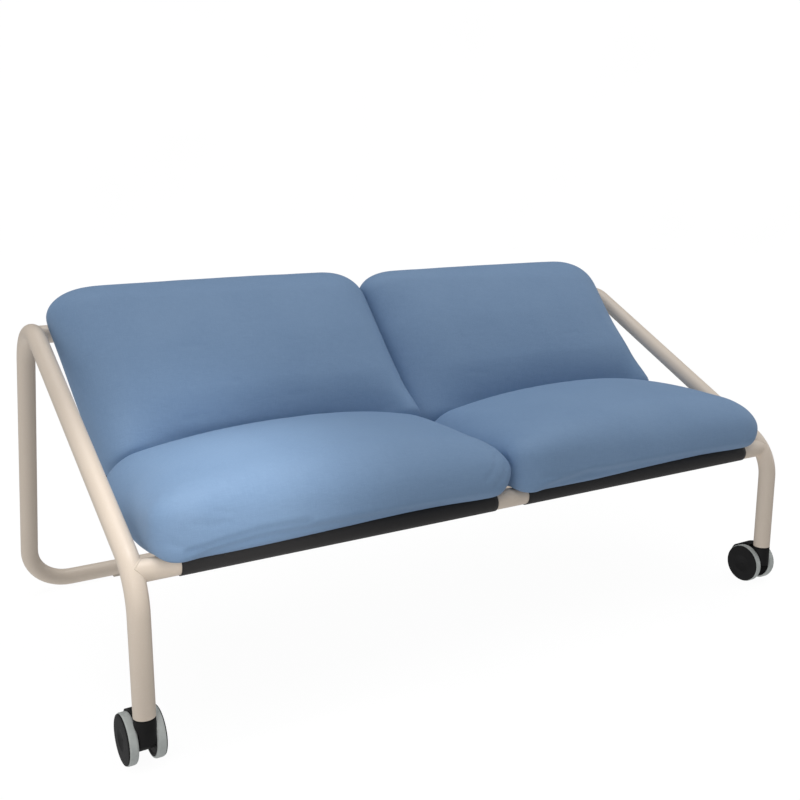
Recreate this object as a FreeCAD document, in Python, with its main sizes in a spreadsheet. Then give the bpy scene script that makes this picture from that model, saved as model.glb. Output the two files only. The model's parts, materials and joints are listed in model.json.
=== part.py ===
import FreeCAD, Part
import math
import os

import Sketcher

# Two-seat office sofa on a bent round-tube frame.
# Millimetres, +Z up, +X across the width, front of the sofa towards -Y.
# Origin: centre of the overall box, on the floor.

V3 = FreeCAD.Vector
ROT = FreeCAD.Rotation
PLC = FreeCAD.Placement
XDIR = V3(1, 0, 0)

doc = FreeCAD.newDocument("office_sofa")
sheet = doc.addObject("Spreadsheet::Sheet", "Sizes")

SIZES = [
    # frame
    ("tube_d", 32.0),            # frame tube, outside diameter
    ("tube_wall", 2.0),          # frame tube wall
    ("track_x", 645.25),         # side tube axis to the middle
    ("origin_y", 366.915),         # front leg axis to the origin, along Y
    ("leg_end_z", 78.0),         # lower end of the front leg tube
    ("front_corner_z", 278.2),   # where leg and diagonal axes meet
    ("diag_angle", 27.76),       # rise of the diagonal
    ("top_corner_y", 582.9),     # where diagonal and rear leg axes meet
    ("rear_corner_y", 738.0),    # where rear leg and floor bar axes meet
    ("bar_axis_z", 17.0),        # floor bar axis height
    ("front_bend_r", 88.0),      # centreline bend radii
    ("top_bend_r", 78.0),
    ("floor_bend_r", 80.0),
    ("rake", 15.273),            # rear leg from the vertical
    ("split_len", 190.0),        # rear leg joint to the floor bar axis
    ("front_rail_angle", 140.4), # place of the front rail on the front bend
    ("top_rail_angle", 64.3),    # place of the top rail on the top bend
    ("weld_gap", 0.05),
    ("spigot_len", 80.0),
    ("spigot_r", 13.95),
    ("spigot_bore_r", 11.5),
    # floor glides
    ("glide_len", 60.0),
    ("glide_w", 20.0),
    ("glide_tall", 4.4),
    ("glide_x_a", 130.0),
    ("glide_x_b", 450.0),
    # slings
    ("sling_in_x", 33.0),
    ("sling_w", 547.0),
    ("sling_thick", 1.2),
    ("sleeve_bore_r", 16.15),
    ("sleeve_extra", 0.2),       # hem of the sleeve, thicker than the web
    ("sling_bend_r", 60.0),
    ("seat_slope", 5.9),
    ("back_angle", 53.0),
    ("strip_w", 25.0),
    ("strip_thick", 1.5),
    # cushions
    ("cover_thick", 1.5),
    ("core_gap", 0.5),
    ("seat_w", 609.0),
    ("seat_in_x", 3.0),
    ("seat_len", 322.0),
    ("seat_front_tall", 86.0),
    ("seat_rear_tall", 112.0),
    ("seat_rear_lean", 12.0),
    ("seat_fillet", 36.0),
    ("seat_over", 46.0),         # seat front edge ahead of the front rail axis
    ("back_w", 616.0),
    ("back_in_x", 2.0),
    ("back_len", 358.5),
    ("back_tall", 99.0),
    ("back_foot_lean", 30.0),
    ("back_fillet", 40.0),
    ("back_top", 40.5),          # back cushion top end beyond the top rail axis, along the back
    ("cushion_clear", 0.6),
    # castors
    ("wheel_r", 37.5),
    ("trail", 24.0),
    ("wheel_in_x", 12.9),
    ("wheel_out_x", 28.1),
    ("hub_r", 33.8),
    ("flange_r", 36.2),
    ("flange_thick", 2.0),
    ("dimple_r", 14.5),
    ("dimple_deep", 3.2),
    ("axle_r", 4.0),
    ("axle_half", 22.0),
    ("axle_clear", 0.05),
    ("neck_r", 16.0),
    ("neck_top_z", 76.0),
    ("neck_low_z", 39.5),
    ("barrel_r", 22.0),
    ("barrel_half", 12.2),
    ("stem_r", 5.5),
    ("stem_low_z", 50.0),
    ("stem_top_z", 112.0),
    ("stem_clear", 0.06),
    ("socket_r", 13.95),
    ("socket_flange_z", 76.5),
    ("socket_top_z", 118.0),
    ("pedal_in_r", 36.6),
    ("pedal_out_r", 40.4),
    ("pedal_half", 12.0),
    ("pedal_front_deg", 97.0),
    ("pedal_tip_deg", 20.0),
    ("paddle_out_r", 43.5),
    ("paddle_deg", 40.0),
    ("pivot_y", 22.0),
    ("pivot_z", 66.0),
    ("pin_r", 1.95),
    ("pin_clear", 0.06),
    ("cheek_r", 6.0),
    ("cheek_in_x", 9.0),
    ("boss_r", 5.0),
    ("boss_half", 8.6),
]
S = {}
for i, (alias, value) in enumerate(SIZES, start=1):
    sheet.set("A%d" % i, alias)
    sheet.set("B%d" % i, "%g" % value)
    sheet.setAlias("B%d" % i, alias)
    S[alias] = value
doc.recompute()


def q(expr):
    """Puts the sheet's name in front of each alias in an expression."""
    out = ""
    word = ""
    for ch in expr + " ":
        if ch.isalnum() or ch == "_":
            word += ch
        else:
            out += ("Sizes." + word) if word in S else word
            word = ""
            out += ch
    return out.strip()


def sin(deg):
    return math.sin(math.radians(deg))


def cos(deg):
    return math.cos(math.radians(deg))


def tan(deg):
    return math.tan(math.radians(deg))


# ---------------------------------------------------------------- helpers

def new_body(name):
    b = doc.addObject("PartDesign::Body", name)
    b.Label = name
    return b


def plane(body, role):
    for f in body.Origin.OriginFeatures:
        if f.Role == role:
            return f
    raise RuntimeError(role)


def new_sketch(body, role, name, offset=None):
    sk = body.newObject("Sketcher::SketchObject", name)
    sk.AttachmentSupport = (plane(body, role), [""])
    sk.MapMode = "FlatFace"
    if offset is not None:
        sk.AttachmentOffset = PLC(V3(0, 0, offset), ROT())
    return sk


def named(sk, con, name, expr):
    i = sk.addConstraint(con)
    sk.renameConstraint(i, name)
    sk.setExpression("Constraints." + name, q(expr))
    return i


def polygon(sk, pts):
    """Closed outline. pts: (x, y, x expression, y expression) in the sketch."""
    n = len(pts)
    first = sk.GeometryCount
    for i in range(n):
        a, b = pts[i], pts[(i + 1) % n]
        sk.addGeometry(Part.LineSegment(V3(a[0], a[1], 0), V3(b[0], b[1], 0)), False)
    for i in range(n):
        sk.addConstraint(Sketcher.Constraint("Coincident", first + i, 2, first + (i + 1) % n, 1))
    for i, (x, y, ex, ey) in enumerate(pts):
        g = first + i
        if abs(x) < 1e-9 and abs(y) < 1e-9:
            sk.addConstraint(Sketcher.Constraint("Coincident", g, 1, -1, 1))
            continue
        if abs(x) < 1e-9:
            sk.addConstraint(Sketcher.Constraint("PointOnObject", g, 1, -2))
        else:
            named(sk, Sketcher.Constraint("DistanceX", -1, 1, g, 1, x), "px%d" % i, ex)
        if abs(y) < 1e-9:
            sk.addConstraint(Sketcher.Constraint("PointOnObject", g, 1, -1))
        else:
            named(sk, Sketcher.Constraint("DistanceY", -1, 1, g, 1, y), "py%d" % i, ey)


def ring_profile(body, name):
    """Tube section about the body's own origin, in its XY plane."""
    sk = new_sketch(body, "XY_Plane", name)
    ro = S["tube_d"] / 2
    ri = ro - S["tube_wall"]
    for i, (r, e) in enumerate(((ro, "tube_d / 2"), (ri, "tube_d / 2 - tube_wall"))):
        g = sk.addGeometry(Part.Circle(V3(0, 0, 0), V3(0, 0, 1), r), False)
        sk.addConstraint(Sketcher.Constraint("Coincident", g, 3, -1, 1))
        named(sk, Sketcher.Constraint("Radius", g, r), "radius%d" % i, e)
    return sk


def pipe(body, profile, path, edges):
    p = body.newObject("PartDesign::AdditivePipe", body.Name + "_pipe")
    p.Profile = profile
    p.Spine = (path, ["Edge%d" % (i + 1) for i in range(edges)])
    body.Tip = p
    return p


def cylinder(name, r, length, place, er, el):
    c = doc.addObject("Part::Cylinder", name)
    c.setExpression("Radius", q(er))
    c.setExpression("Height", q(el))
    c.Radius, c.Height = r, length
    c.Placement = place
    return c


def box(name, size, exprs, place):
    b = doc.addObject("Part::Box", name)
    for prop, v, e in zip(("Length", "Width", "Height"), size, exprs):
        setattr(b, prop, v)
        b.setExpression(prop, q(e))
    b.Placement = place
    return b


def cut(name, base, tool):
    c = doc.addObject("Part::Cut", name)
    c.Base, c.Tool = base, tool
    return c


def fuse(name, shapes):
    f = doc.addObject("Part::MultiFuse", name)
    f.Shapes = shapes
    return f


def compound(name, links):
    c = doc.addObject("Part::Compound", name)
    c.Links = links
    return c


ALONG_X = ROT(V3(0, 1, 0), 90)   # turns a cylinder's own axis from Z to X

NODES = []


def node(obj, label):
    obj.Label = label
    NODES.append((label, obj))
    return obj


# ---------------------------------------------------------------- frame geometry

R_TUBE = S["tube_d"] / 2
OY = S["origin_y"]
DIAG = S["diag_angle"]
RAKE = S["rake"]
TURN_F = 90 - DIAG
TOP_Z = S["front_corner_z"] + S["top_corner_y"] * tan(DIAG)
TURN_T = 90 + DIAG - RAKE
CUT_F = S["front_bend_r"] * tan(TURN_F / 2)
CUT_T = S["top_bend_r"] * tan(TURN_T / 2)
LEG = S["front_corner_z"] - S["leg_end_z"] - CUT_F
DIAG_LEN = S["top_corner_y"] / cos(DIAG) - CUT_F - CUT_T
END_Y = S["rear_corner_y"] - S["split_len"] * sin(RAKE)
END_Z = S["bar_axis_z"] + S["split_len"] * cos(RAKE) - S["leg_end_z"]

# bend centres, in (y, z) with y from the front leg axis
FC = (S["front_bend_r"], S["leg_end_z"] + LEG)
T3 = (S["top_corner_y"] - CUT_T * cos(DIAG), TOP_Z - CUT_T * sin(DIAG))
TC = (T3[0] + S["top_bend_r"] * sin(DIAG), T3[1] - S["top_bend_r"] * cos(DIAG))
FRONT_RAIL = (FC[0] + S["front_bend_r"] * cos(S["front_rail_angle"]),
              FC[1] + S["front_bend_r"] * sin(S["front_rail_angle"]))
TOP_RAIL = (TC[0] + S["top_bend_r"] * cos(S["top_rail_angle"]),
            TC[1] + S["top_bend_r"] * sin(S["top_rail_angle"]))


def side_tube(label, x):
    """Front leg, diagonal and upper rear leg, bent from one tube in one plane."""
    b = new_body(label)
    prof = ring_profile(b, label + "_section")
    sk = new_sketch(b, "YZ_Plane", label + "_path")
    zl = S["leg_end_z"]
    t1 = V3(0, LEG, 0)
    c1 = V3(FC[0], FC[1] - zl, 0)
    t2 = V3(c1.x - S["front_bend_r"] * sin(DIAG), c1.y + S["front_bend_r"] * cos(DIAG), 0)
    t3 = V3(T3[0], T3[1] - zl, 0)
    c2 = V3(TC[0], TC[1] - zl, 0)
    t4 = V3(c2.x + S["top_bend_r"] * cos(RAKE), c2.y + S["top_bend_r"] * sin(RAKE), 0)
    end = V3(END_Y, END_Z, 0)
    sk.addGeometry(Part.LineSegment(V3(0, 0, 0), t1), False)
    sk.addGeometry(Part.ArcOfCircle(Part.Circle(c1, V3(0, 0, 1), S["front_bend_r"]),
                                    math.radians(90 + DIAG), math.pi), False)
    sk.addGeometry(Part.LineSegment(t2, t3), False)
    sk.addGeometry(Part.ArcOfCircle(Part.Circle(c2, V3(0, 0, 1), S["top_bend_r"]),
                                    math.radians(RAKE), math.radians(90 + DIAG)), False)
    sk.addGeometry(Part.LineSegment(t4, end), False)
    C = Sketcher.Constraint
    sk.addConstraint(C("Coincident", 0, 1, -1, 1))
    sk.addConstraint(C("Vertical", 0))
    sk.addConstraint(C("Tangent", 0, 2, 1, 2))
    sk.addConstraint(C("Tangent", 1, 1, 2, 1))
    sk.addConstraint(C("Tangent", 2, 2, 3, 2))
    sk.addConstraint(C("Tangent", 3, 1, 4, 1))
    named(sk, C("Distance", 0, LEG), "leg_len",
          "front_corner_z - leg_end_z - front_bend_r * tan((90 deg - diag_angle * 1 deg) / 2)")
    named(sk, C("Radius", 1, S["front_bend_r"]), "front_bend", "front_bend_r")
    named(sk, C("Angle", 2, math.radians(DIAG)), "rise", "diag_angle * 1 deg")
    named(sk, C("Distance", 2, DIAG_LEN), "diag_len",
          "top_corner_y / cos(diag_angle * 1 deg)"
          " - front_bend_r * tan((90 deg - diag_angle * 1 deg) / 2)"
          " - top_bend_r * tan((90 deg + diag_angle * 1 deg - rake * 1 deg) / 2)")
    named(sk, C("Radius", 3, S["top_bend_r"]), "top_bend", "top_bend_r")
    named(sk, C("DistanceX", -1, 1, 4, 2, END_Y), "end_y",
          "rear_corner_y - split_len * sin(rake * 1 deg)")
    named(sk, C("DistanceY", -1, 1, 4, 2, END_Z), "end_z",
          "bar_axis_z + split_len * cos(rake * 1 deg) - leg_end_z")
    doc.recompute()
    pipe(b, prof, sk, 5)
    b.Placement = PLC(V3(x, -OY, zl), ROT())
    return node(b, label)


side_tube("left_side_tube", -S["track_x"])
side_tube("right_side_tube", S["track_x"])

# lower rear legs and floor bar, one U bent in the raked plane of the legs
b = new_body("rear_floor_tube")
prof = ring_profile(b, "rear_floor_tube_section")
sk = new_sketch(b, "XZ_Plane", "rear_floor_tube_path")
RB = S["floor_bend_r"]
SL = S["split_len"]
WID = 2 * S["track_x"]
sk.addGeometry(Part.LineSegment(V3(0, 0, 0), V3(0, -(SL - RB), 0)), False)
sk.addGeometry(Part.ArcOfCircle(Part.Circle(V3(RB, -(SL - RB), 0), V3(0, 0, 1), RB),
                                math.pi, 1.5 * math.pi), False)
sk.addGeometry(Part.LineSegment(V3(RB, -SL, 0), V3(WID - RB, -SL, 0)), False)
sk.addGeometry(Part.ArcOfCircle(Part.Circle(V3(WID - RB, -(SL - RB), 0), V3(0, 0, 1), RB),
                                1.5 * math.pi, 2 * math.pi), False)
sk.addGeometry(Part.LineSegment(V3(WID, -(SL - RB), 0), V3(WID, 0, 0)), False)
C = Sketcher.Constraint
sk.addConstraint(C("Coincident", 0, 1, -1, 1))
sk.addConstraint(C("Vertical", 0))
sk.addConstraint(C("Horizontal", 2))
sk.addConstraint(C("Tangent", 0, 2, 1, 1))
sk.addConstraint(C("Tangent", 1, 2, 2, 1))
sk.addConstraint(C("Tangent", 2, 2, 3, 1))
sk.addConstraint(C("Tangent", 3, 2, 4, 1))
sk.addConstraint(C("PointOnObject", 4, 2, -1))
sk.addConstraint(C("Vertical", 4))
named(sk, C("Distance", 0, SL - RB), "leg_len", "split_len - floor_bend_r")
named(sk, C("Radius", 1, RB), "bend_a", "floor_bend_r")
named(sk, C("Radius", 3, RB), "bend_b", "floor_bend_r")
named(sk, C("Distance", 2, WID - 2 * RB), "bar_len", "2 * track_x - 2 * floor_bend_r")
doc.recompute()
pipe(b, prof, sk, 5)
SPLIT_Y = S["rear_corner_y"] - SL * sin(RAKE)
SPLIT_Z = S["bar_axis_z"] + SL * cos(RAKE)
b.Placement = PLC(V3(-S["track_x"], SPLIT_Y - OY, SPLIT_Z), ROT(XDIR, RAKE))
node(b, "rear_floor_tube")


def rail(label, yz, centre, bend_alias):
    """Cross tube between the side tubes, its ends shaped to the bends that it is welded to."""
    half = S["track_x"]
    at = V3(-half, yz[0] - OY, yz[1])
    outer = cylinder(label + "_outer", R_TUBE, 2 * half, PLC(at, ALONG_X), "tube_d / 2", "2 * track_x")
    inner = cylinder(label + "_inner", R_TUBE - S["tube_wall"], 2 * half + 20,
                     PLC(at + V3(-10, 0, 0), ALONG_X), "tube_d / 2 - tube_wall", "2 * track_x + 20")
    tube = cut(label + "_tube", outer, inner)
    bends = []
    for tag, x in (("l", -half), ("r", half)):
        t = doc.addObject("Part::Torus", label + "_cope_" + tag)
        t.setExpression("Radius1", q(bend_alias))
        t.setExpression("Radius2", q("tube_d / 2 + weld_gap"))
        t.Placement = PLC(V3(x, centre[0] - OY, centre[1]), ALONG_X)
        bends.append(t)
    return node(cut(label, tube, fuse(label + "_copes", bends)), label)


rail("front_rail", FRONT_RAIL, FC, "front_bend_r")
rail("top_rail", TOP_RAIL, TC, "top_bend_r")

# inner sleeves at the two joints of the rear legs
spigots = []
for tag, x in (("l", -S["track_x"]), ("r", S["track_x"])):
    turn = ROT(XDIR, RAKE)
    half = S["spigot_len"] / 2
    at = V3(x, SPLIT_Y - OY, SPLIT_Z) + turn.multVec(V3(0, 0, -half))
    outer = cylinder("spigot_outer_" + tag, S["spigot_r"], S["spigot_len"], PLC(at, turn),
                     "spigot_r", "spigot_len")
    bore = cylinder("spigot_bore_" + tag, S["spigot_bore_r"], S["spigot_len"], PLC(at, turn),
                    "spigot_bore_r", "spigot_len")
    spigots.append(cut("spigot_" + tag, outer, bore))
node(compound("rear_leg_spigots", spigots), "rear_leg_spigots")

# glides under the floor bar: flat soles at floor level, saddles above
pads = []
for i, x in enumerate((-S["glide_x_b"], -S["glide_x_a"], S["glide_x_a"], S["glide_x_b"])):
    pads.append(box("glide_pad_%d" % i, (S["glide_len"], S["glide_w"], S["glide_tall"]),
                    ("glide_len", "glide_w", "glide_tall"),
                    PLC(V3(x - S["glide_len"] / 2,
                           S["rear_corner_y"] - OY - S["glide_w"] / 2, 0), ROT())))
saddle = cylinder("glide_saddle", R_TUBE + 0.02, 1200,
                  PLC(V3(-600, S["rear_corner_y"] - OY, S["bar_axis_z"]), ALONG_X),
                  "tube_d / 2 + 0.02", "1200")
glides = [cut("glide_%d" % i, p, saddle) for i, p in enumerate(pads)]
node(compound("floor_glides", glides), "floor_glides")

# ---------------------------------------------------------------- slings

SLOPE = S["seat_slope"]
BACK = S["back_angle"]
THK = S["sling_thick"]
R_MID = S["sleeve_bore_r"] + S["sleeve_extra"] / 2 + THK / 2
D1 = (cos(SLOPE), -sin(SLOPE))           # along the seat web, rearwards
N1 = (sin(SLOPE), cos(SLOPE))            # up from the seat web
D2 = (cos(BACK), sin(BACK))              # along the back web, upwards
N2 = (-sin(BACK), cos(BACK))             # forward from the back web
P1 = (FRONT_RAIL[0] + R_MID * N1[0], FRONT_RAIL[1] + R_MID * N1[1])
P2 = (TOP_RAIL[0] + R_MID * N2[0], TOP_RAIL[1] + R_MID * N2[1])
# seat and back webs meet here before the bend is put in
det = D1[0] * D2[1] - D1[1] * D2[0]
W1 = ((P2[0] - P1[0]) * D2[1] - (P2[1] - P1[1]) * D2[0]) / det
KNEE = (P1[0] + W1 * D1[0], P1[1] + W1 * D1[1])
W2 = math.hypot(P2[0] - KNEE[0], P2[1] - KNEE[1])
TURN_S = SLOPE + BACK
CUT_S = S["sling_bend_r"] * tan(TURN_S / 2)
LAP = 1.0
SEAT_TURN = ROT(XDIR, -(90 + SLOPE)).multiply(ROT(V3(0, 0, 1), 180))


def sling(label, x0):
    """Sleeve on the front rail, web under the seat and behind the back, sleeve on the top rail."""
    w = new_body(label + "_web")
    prof = new_sketch(w, "XY_Plane", label + "_web_section")
    wid = S["sling_w"]
    polygon(prof, [(0.4, THK / 2, "0.4", "sling_thick / 2"),
                   (wid - 0.4, THK / 2, "sling_w - 0.4", "sling_thick / 2"),
                   (wid - 0.4, -THK / 2, "sling_w - 0.4", "-sling_thick / 2"),
                   (0.4, -THK / 2, "0.4", "-sling_thick / 2")])
    sk = new_sketch(w, "YZ_Plane", label + "_web_path")
    rb = S["sling_bend_r"]
    l1 = W1 + LAP - CUT_S
    l2 = W2 + LAP - CUT_S
    a = V3(0, l1, 0)
    c = V3(rb, l1, 0)
    e = V3(rb - rb * cos(TURN_S), l1 + rb * sin(TURN_S), 0)
    f = V3(e.x + l2 * sin(TURN_S), e.y + l2 * cos(TURN_S), 0)
    sk.addGeometry(Part.LineSegment(V3(0, 0, 0), a), False)
    sk.addGeometry(Part.ArcOfCircle(Part.Circle(c, V3(0, 0, 1), rb),
                                    math.radians(180 - TURN_S), math.pi), False)
    sk.addGeometry(Part.LineSegment(e, f), False)
    K = Sketcher.Constraint
    sk.addConstraint(K("Coincident", 0, 1, -1, 1))
    sk.addConstraint(K("Vertical", 0))
    sk.addConstraint(K("Tangent", 0, 2, 1, 2))
    sk.addConstraint(K("Tangent", 1, 1, 2, 1))
    turn = "(seat_slope * 1 deg + back_angle * 1 deg)"
    lost = "sling_bend_r * tan(%s / 2)" % turn
    named(sk, K("Radius", 1, rb), "bend", "sling_bend_r")
    named(sk, K("Distance", 0, l1), "seat_run", "%.6f - %s" % (W1 + LAP, lost))
    named(sk, K("DistanceX", -1, 1, 2, 2, f.x), "end_up",
          "sling_bend_r * (1 - cos%s) + (%.6f - %s) * sin%s" % (turn, W2 + LAP, lost, turn))
    named(sk, K("DistanceY", -1, 1, 2, 2, f.y), "end_along",
          "%.6f - %s + sling_bend_r * sin%s + (%.6f - %s) * cos%s" % (
              W1 + LAP, lost, turn, W2 + LAP, lost, turn))
    doc.recompute()
    pipe(w, prof, sk, 3)
    w.Placement = PLC(V3(x0 + wid, P1[0] - LAP * D1[0] - OY, P1[1] - LAP * D1[1]), SEAT_TURN)
    doc.recompute()
    flat = (wid - 0.8) * THK * (l1 + rb * math.radians(TURN_S) + l2)
    if abs(w.Shape.Volume - flat) > 0.01 * flat:
        raise RuntimeError("%s web volume %g, expected %g" % (label, w.Shape.Volume, flat))
    parts = [w]
    for tag, yz in (("front", FRONT_RAIL), ("top", TOP_RAIL)):
        at = V3(x0, yz[0] - OY, yz[1])
        o = cylinder("%s_%s_outer" % (label, tag), S["sleeve_bore_r"] + THK + S["sleeve_extra"], wid, PLC(at, ALONG_X),
                     "sleeve_bore_r + sling_thick + sleeve_extra", "sling_w")
        n = cylinder("%s_%s_bore" % (label, tag), S["sleeve_bore_r"], wid, PLC(at, ALONG_X),
                     "sleeve_bore_r", "sling_w")
        parts.append(cut("%s_%s_sleeve" % (label, tag), o, n))
    return node(fuse(label, parts), label)


sling("left_sling", -S["sling_in_x"] - S["sling_w"])
sling("right_sling", S["sling_in_x"])

# closure strips on the hidden face of each web, beside the sleeves
strips = []
for tag, x0 in (("l", -S["sling_in_x"] - S["sling_w"] + 4), ("r", S["sling_in_x"] + 4)):
    for end in ("front", "top"):
        if end == "front":
            turn = ROT(XDIR, -SLOPE)
            along, up, p = D1, N1, P1
            start = 22.0
        else:
            turn = ROT(XDIR, BACK)
            along, up, p = D2, N2, P2
            start = -22.0 - S["strip_w"]
        drop = THK / 2 + 0.05 + S["strip_thick"]
        at = V3(x0, p[0] + start * along[0] - drop * up[0] - OY,
                p[1] + start * along[1] - drop * up[1])
        strips.append(box("strip_%s_%s" % (tag, end),
                          (S["sling_w"] - 8, S["strip_w"], S["strip_thick"]),
                          ("sling_w - 8", "strip_w", "strip_thick"), PLC(at, turn)))
node(compound("sling_closure_strips", strips), "sling_closure_strips")

# ---------------------------------------------------------------- cushions

def pad_body(name, outline, width, width_expr, fillet, fillet_expr, shift):
    b = new_body(name)
    sk = new_sketch(b, "YZ_Plane", name + "_outline", shift)
    polygon(sk, outline)
    pad = b.newObject("PartDesign::Pad", name + "_pad")
    pad.Profile = sk
    pad.setExpression("Length", q(width_expr))
    pad.Length = width
    doc.recompute()
    f = b.newObject("PartDesign::Fillet", name + "_round")
    f.Base = (pad, ["Edge%d" % (i + 1) for i in range(len(pad.Shape.Edges))])
    f.setExpression("Radius", q(fillet_expr))
    f.Radius = fillet
    b.Tip = f
    doc.recompute()
    return b


def seat_outline(e, ee):
    """Bottom along Y from the front edge, e is the inset from the outer outline."""
    s = S
    k = 1.3 * e
    return [
        (e, e, ee, ee),
        (s["seat_len"] - k, e, "seat_len - 1.3 * (%s)" % ee, ee),
        (s["seat_len"] - s["seat_rear_lean"] - k, s["seat_rear_tall"] - e,
         "seat_len - seat_rear_lean - 1.3 * (%s)" % ee, "seat_rear_tall - (%s)" % ee),
        (e, s["seat_front_tall"] - e, ee, "seat_front_tall - (%s)" % ee),
    ]


def back_outline(e, ee):
    """Rear face along Y from the foot, e is the inset from the outer outline."""
    s = S
    k = 1.2 * e
    return [
        (k, e, "1.2 * (%s)" % ee, ee),
        (s["back_len"] - e, e, "back_len - (%s)" % ee, ee),
        (s["back_len"] - e, s["back_tall"] - e, "back_len - (%s)" % ee, "back_tall - (%s)" % ee),
        (s["back_foot_lean"] + k, s["back_tall"] - e,
         "back_foot_lean + 1.2 * (%s)" % ee, "back_tall - (%s)" % ee),
    ]


ZERO = 1e-12
LIFT = THK / 2 + S["cushion_clear"]
SEAT_AT = (FRONT_RAIL[0] + (R_MID + LIFT + 0.3) * N1[0] - S["seat_over"] * D1[0],
           FRONT_RAIL[1] + (R_MID + LIFT + 0.3) * N1[1] - S["seat_over"] * D1[1])
UP = S["back_top"] - S["back_len"]
BACK_AT = (TOP_RAIL[0] + (R_MID + LIFT + 0.3) * N2[0] + UP * D2[0],
           TOP_RAIL[1] + (R_MID + LIFT + 0.3) * N2[1] + UP * D2[1])


def cushion(side, kind, x0, at, turn, outline, prefix):
    wid, fil = S[prefix + "_w"], S[prefix + "_fillet"]
    place = PLC(V3(x0, at[0] - OY, at[1]), turn)
    name = "%s_%s" % (side, kind)
    shapes = []
    for tag, e, ee in (("skin", 0.0, "0"),
                       ("room", S["cover_thick"], "cover_thick"),
                       ("core", S["cover_thick"] + S["core_gap"], "cover_thick + core_gap")):
        pb = pad_body("%s_%s" % (name, tag), outline(e, ee),
                      wid - 2 * e, "%s_w - 2 * (%s)" % (prefix, ee),
                      fil - e, "%s_fillet - (%s)" % (prefix, ee), e)
        pb.Placement = place
        shapes.append(pb)
    skin, room, core = shapes
    node(cut(name + "_cover", skin, room), name + "_cover")
    node(core, name + "_core")


SEAT_ROT = ROT(XDIR, -SLOPE)
BACK_ROT = ROT(XDIR, BACK)
cushion("left", "seat", -S["seat_in_x"] - S["seat_w"], SEAT_AT, SEAT_ROT, seat_outline, "seat")
cushion("right", "seat", S["seat_in_x"], SEAT_AT, SEAT_ROT, seat_outline, "seat")
cushion("left", "back", -S["back_in_x"] - S["back_w"], BACK_AT, BACK_ROT, back_outline, "back")
cushion("right", "back", S["back_in_x"], BACK_AT, BACK_ROT, back_outline, "back")

# ---------------------------------------------------------------- castors

AX_Y, AX_Z = S["trail"], S["wheel_r"]


def revolved(name, pts, about="H_Axis"):
    """Solid of revolution: pts are (along the axis, radius) with their expressions."""
    b = new_body(name)
    sk = new_sketch(b, "XY_Plane", name + "_profile")
    polygon(sk, pts)
    r = b.newObject("PartDesign::Revolution", name + "_turn")
    r.Profile = sk
    r.ReferenceAxis = (sk, [about])
    r.Angle = 360.0
    b.Tip = r
    doc.recompute()
    return b


def hub_points():
    s = S
    wid = s["wheel_out_x"] - s["wheel_in_x"]
    bore = s["axle_r"] + s["axle_clear"]
    deep = s["axle_half"] + 0.4 - s["wheel_in_x"]
    ft = s["flange_thick"]
    W = "(wheel_out_x - wheel_in_x)"
    D = "(axle_half + 0.4 - wheel_in_x)"
    return [
        (0, bore, "0", "axle_r + axle_clear"),
        (deep, bore, D, "axle_r + axle_clear"),
        (deep, 0, D, "0"),
        (wid - s["dimple_deep"], 0, W + " - dimple_deep", "0"),
        (wid - 0.62 * s["dimple_deep"], 0.6 * s["dimple_r"], W + " - 0.62 * dimple_deep", "0.6 * dimple_r"),
        (wid - 0.7, s["dimple_r"], W + " - 0.7", "dimple_r"),
        (wid - 0.1, s["dimple_r"] + 2.2, W + " - 0.1", "dimple_r + 2.2"),
        (wid, s["flange_r"] - 5.0, W, "flange_r - 5"),
        (wid - 0.35, s["flange_r"] - 1.2, W + " - 0.35", "flange_r - 1.2"),
        (wid - 0.95, s["flange_r"], W + " - 0.95", "flange_r"),
        (wid - ft, s["flange_r"], W + " - flange_thick", "flange_r"),
        (wid - ft, s["hub_r"], W + " - flange_thick", "hub_r"),
        (0.6, s["hub_r"], "0.6", "hub_r"),
        (0.6, s["hub_r"] - 2.5, "0.6", "hub_r - 2.5"),
        (1.6, s["hub_r"] - 4.5, "1.6", "hub_r - 4.5"),
        (1.6, 9.0, "1.6", "9"),
        (0, 7.5, "0", "7.5"),
    ]


def tread_points():
    s = S
    wid = s["wheel_out_x"] - s["wheel_in_x"] - s["flange_thick"]
    W = "(wheel_out_x - wheel_in_x - flange_thick)"
    r, h = s["wheel_r"], s["hub_r"] + 0.02
    return [
        (0.1, h, "0.1", "hub_r + 0.02"),
        (wid - 0.05, h, W + " - 0.05", "hub_r + 0.02"),
        (wid - 0.05, r - 1.2, W + " - 0.05", "wheel_r - 1.2"),
        (wid - 0.6, r - 0.45, W + " - 0.6", "wheel_r - 0.45"),
        (wid - 1.9, r, W + " - 1.9", "wheel_r"),
        (3.2, r, "3.2", "wheel_r"),
        (1.6, r - 0.55, "1.6", "wheel_r - 0.55"),
        (0.5, r - 1.7, "0.5", "wheel_r - 1.7"),
        (0.1, r - 2.8, "0.1", "wheel_r - 2.8"),
    ]


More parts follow.
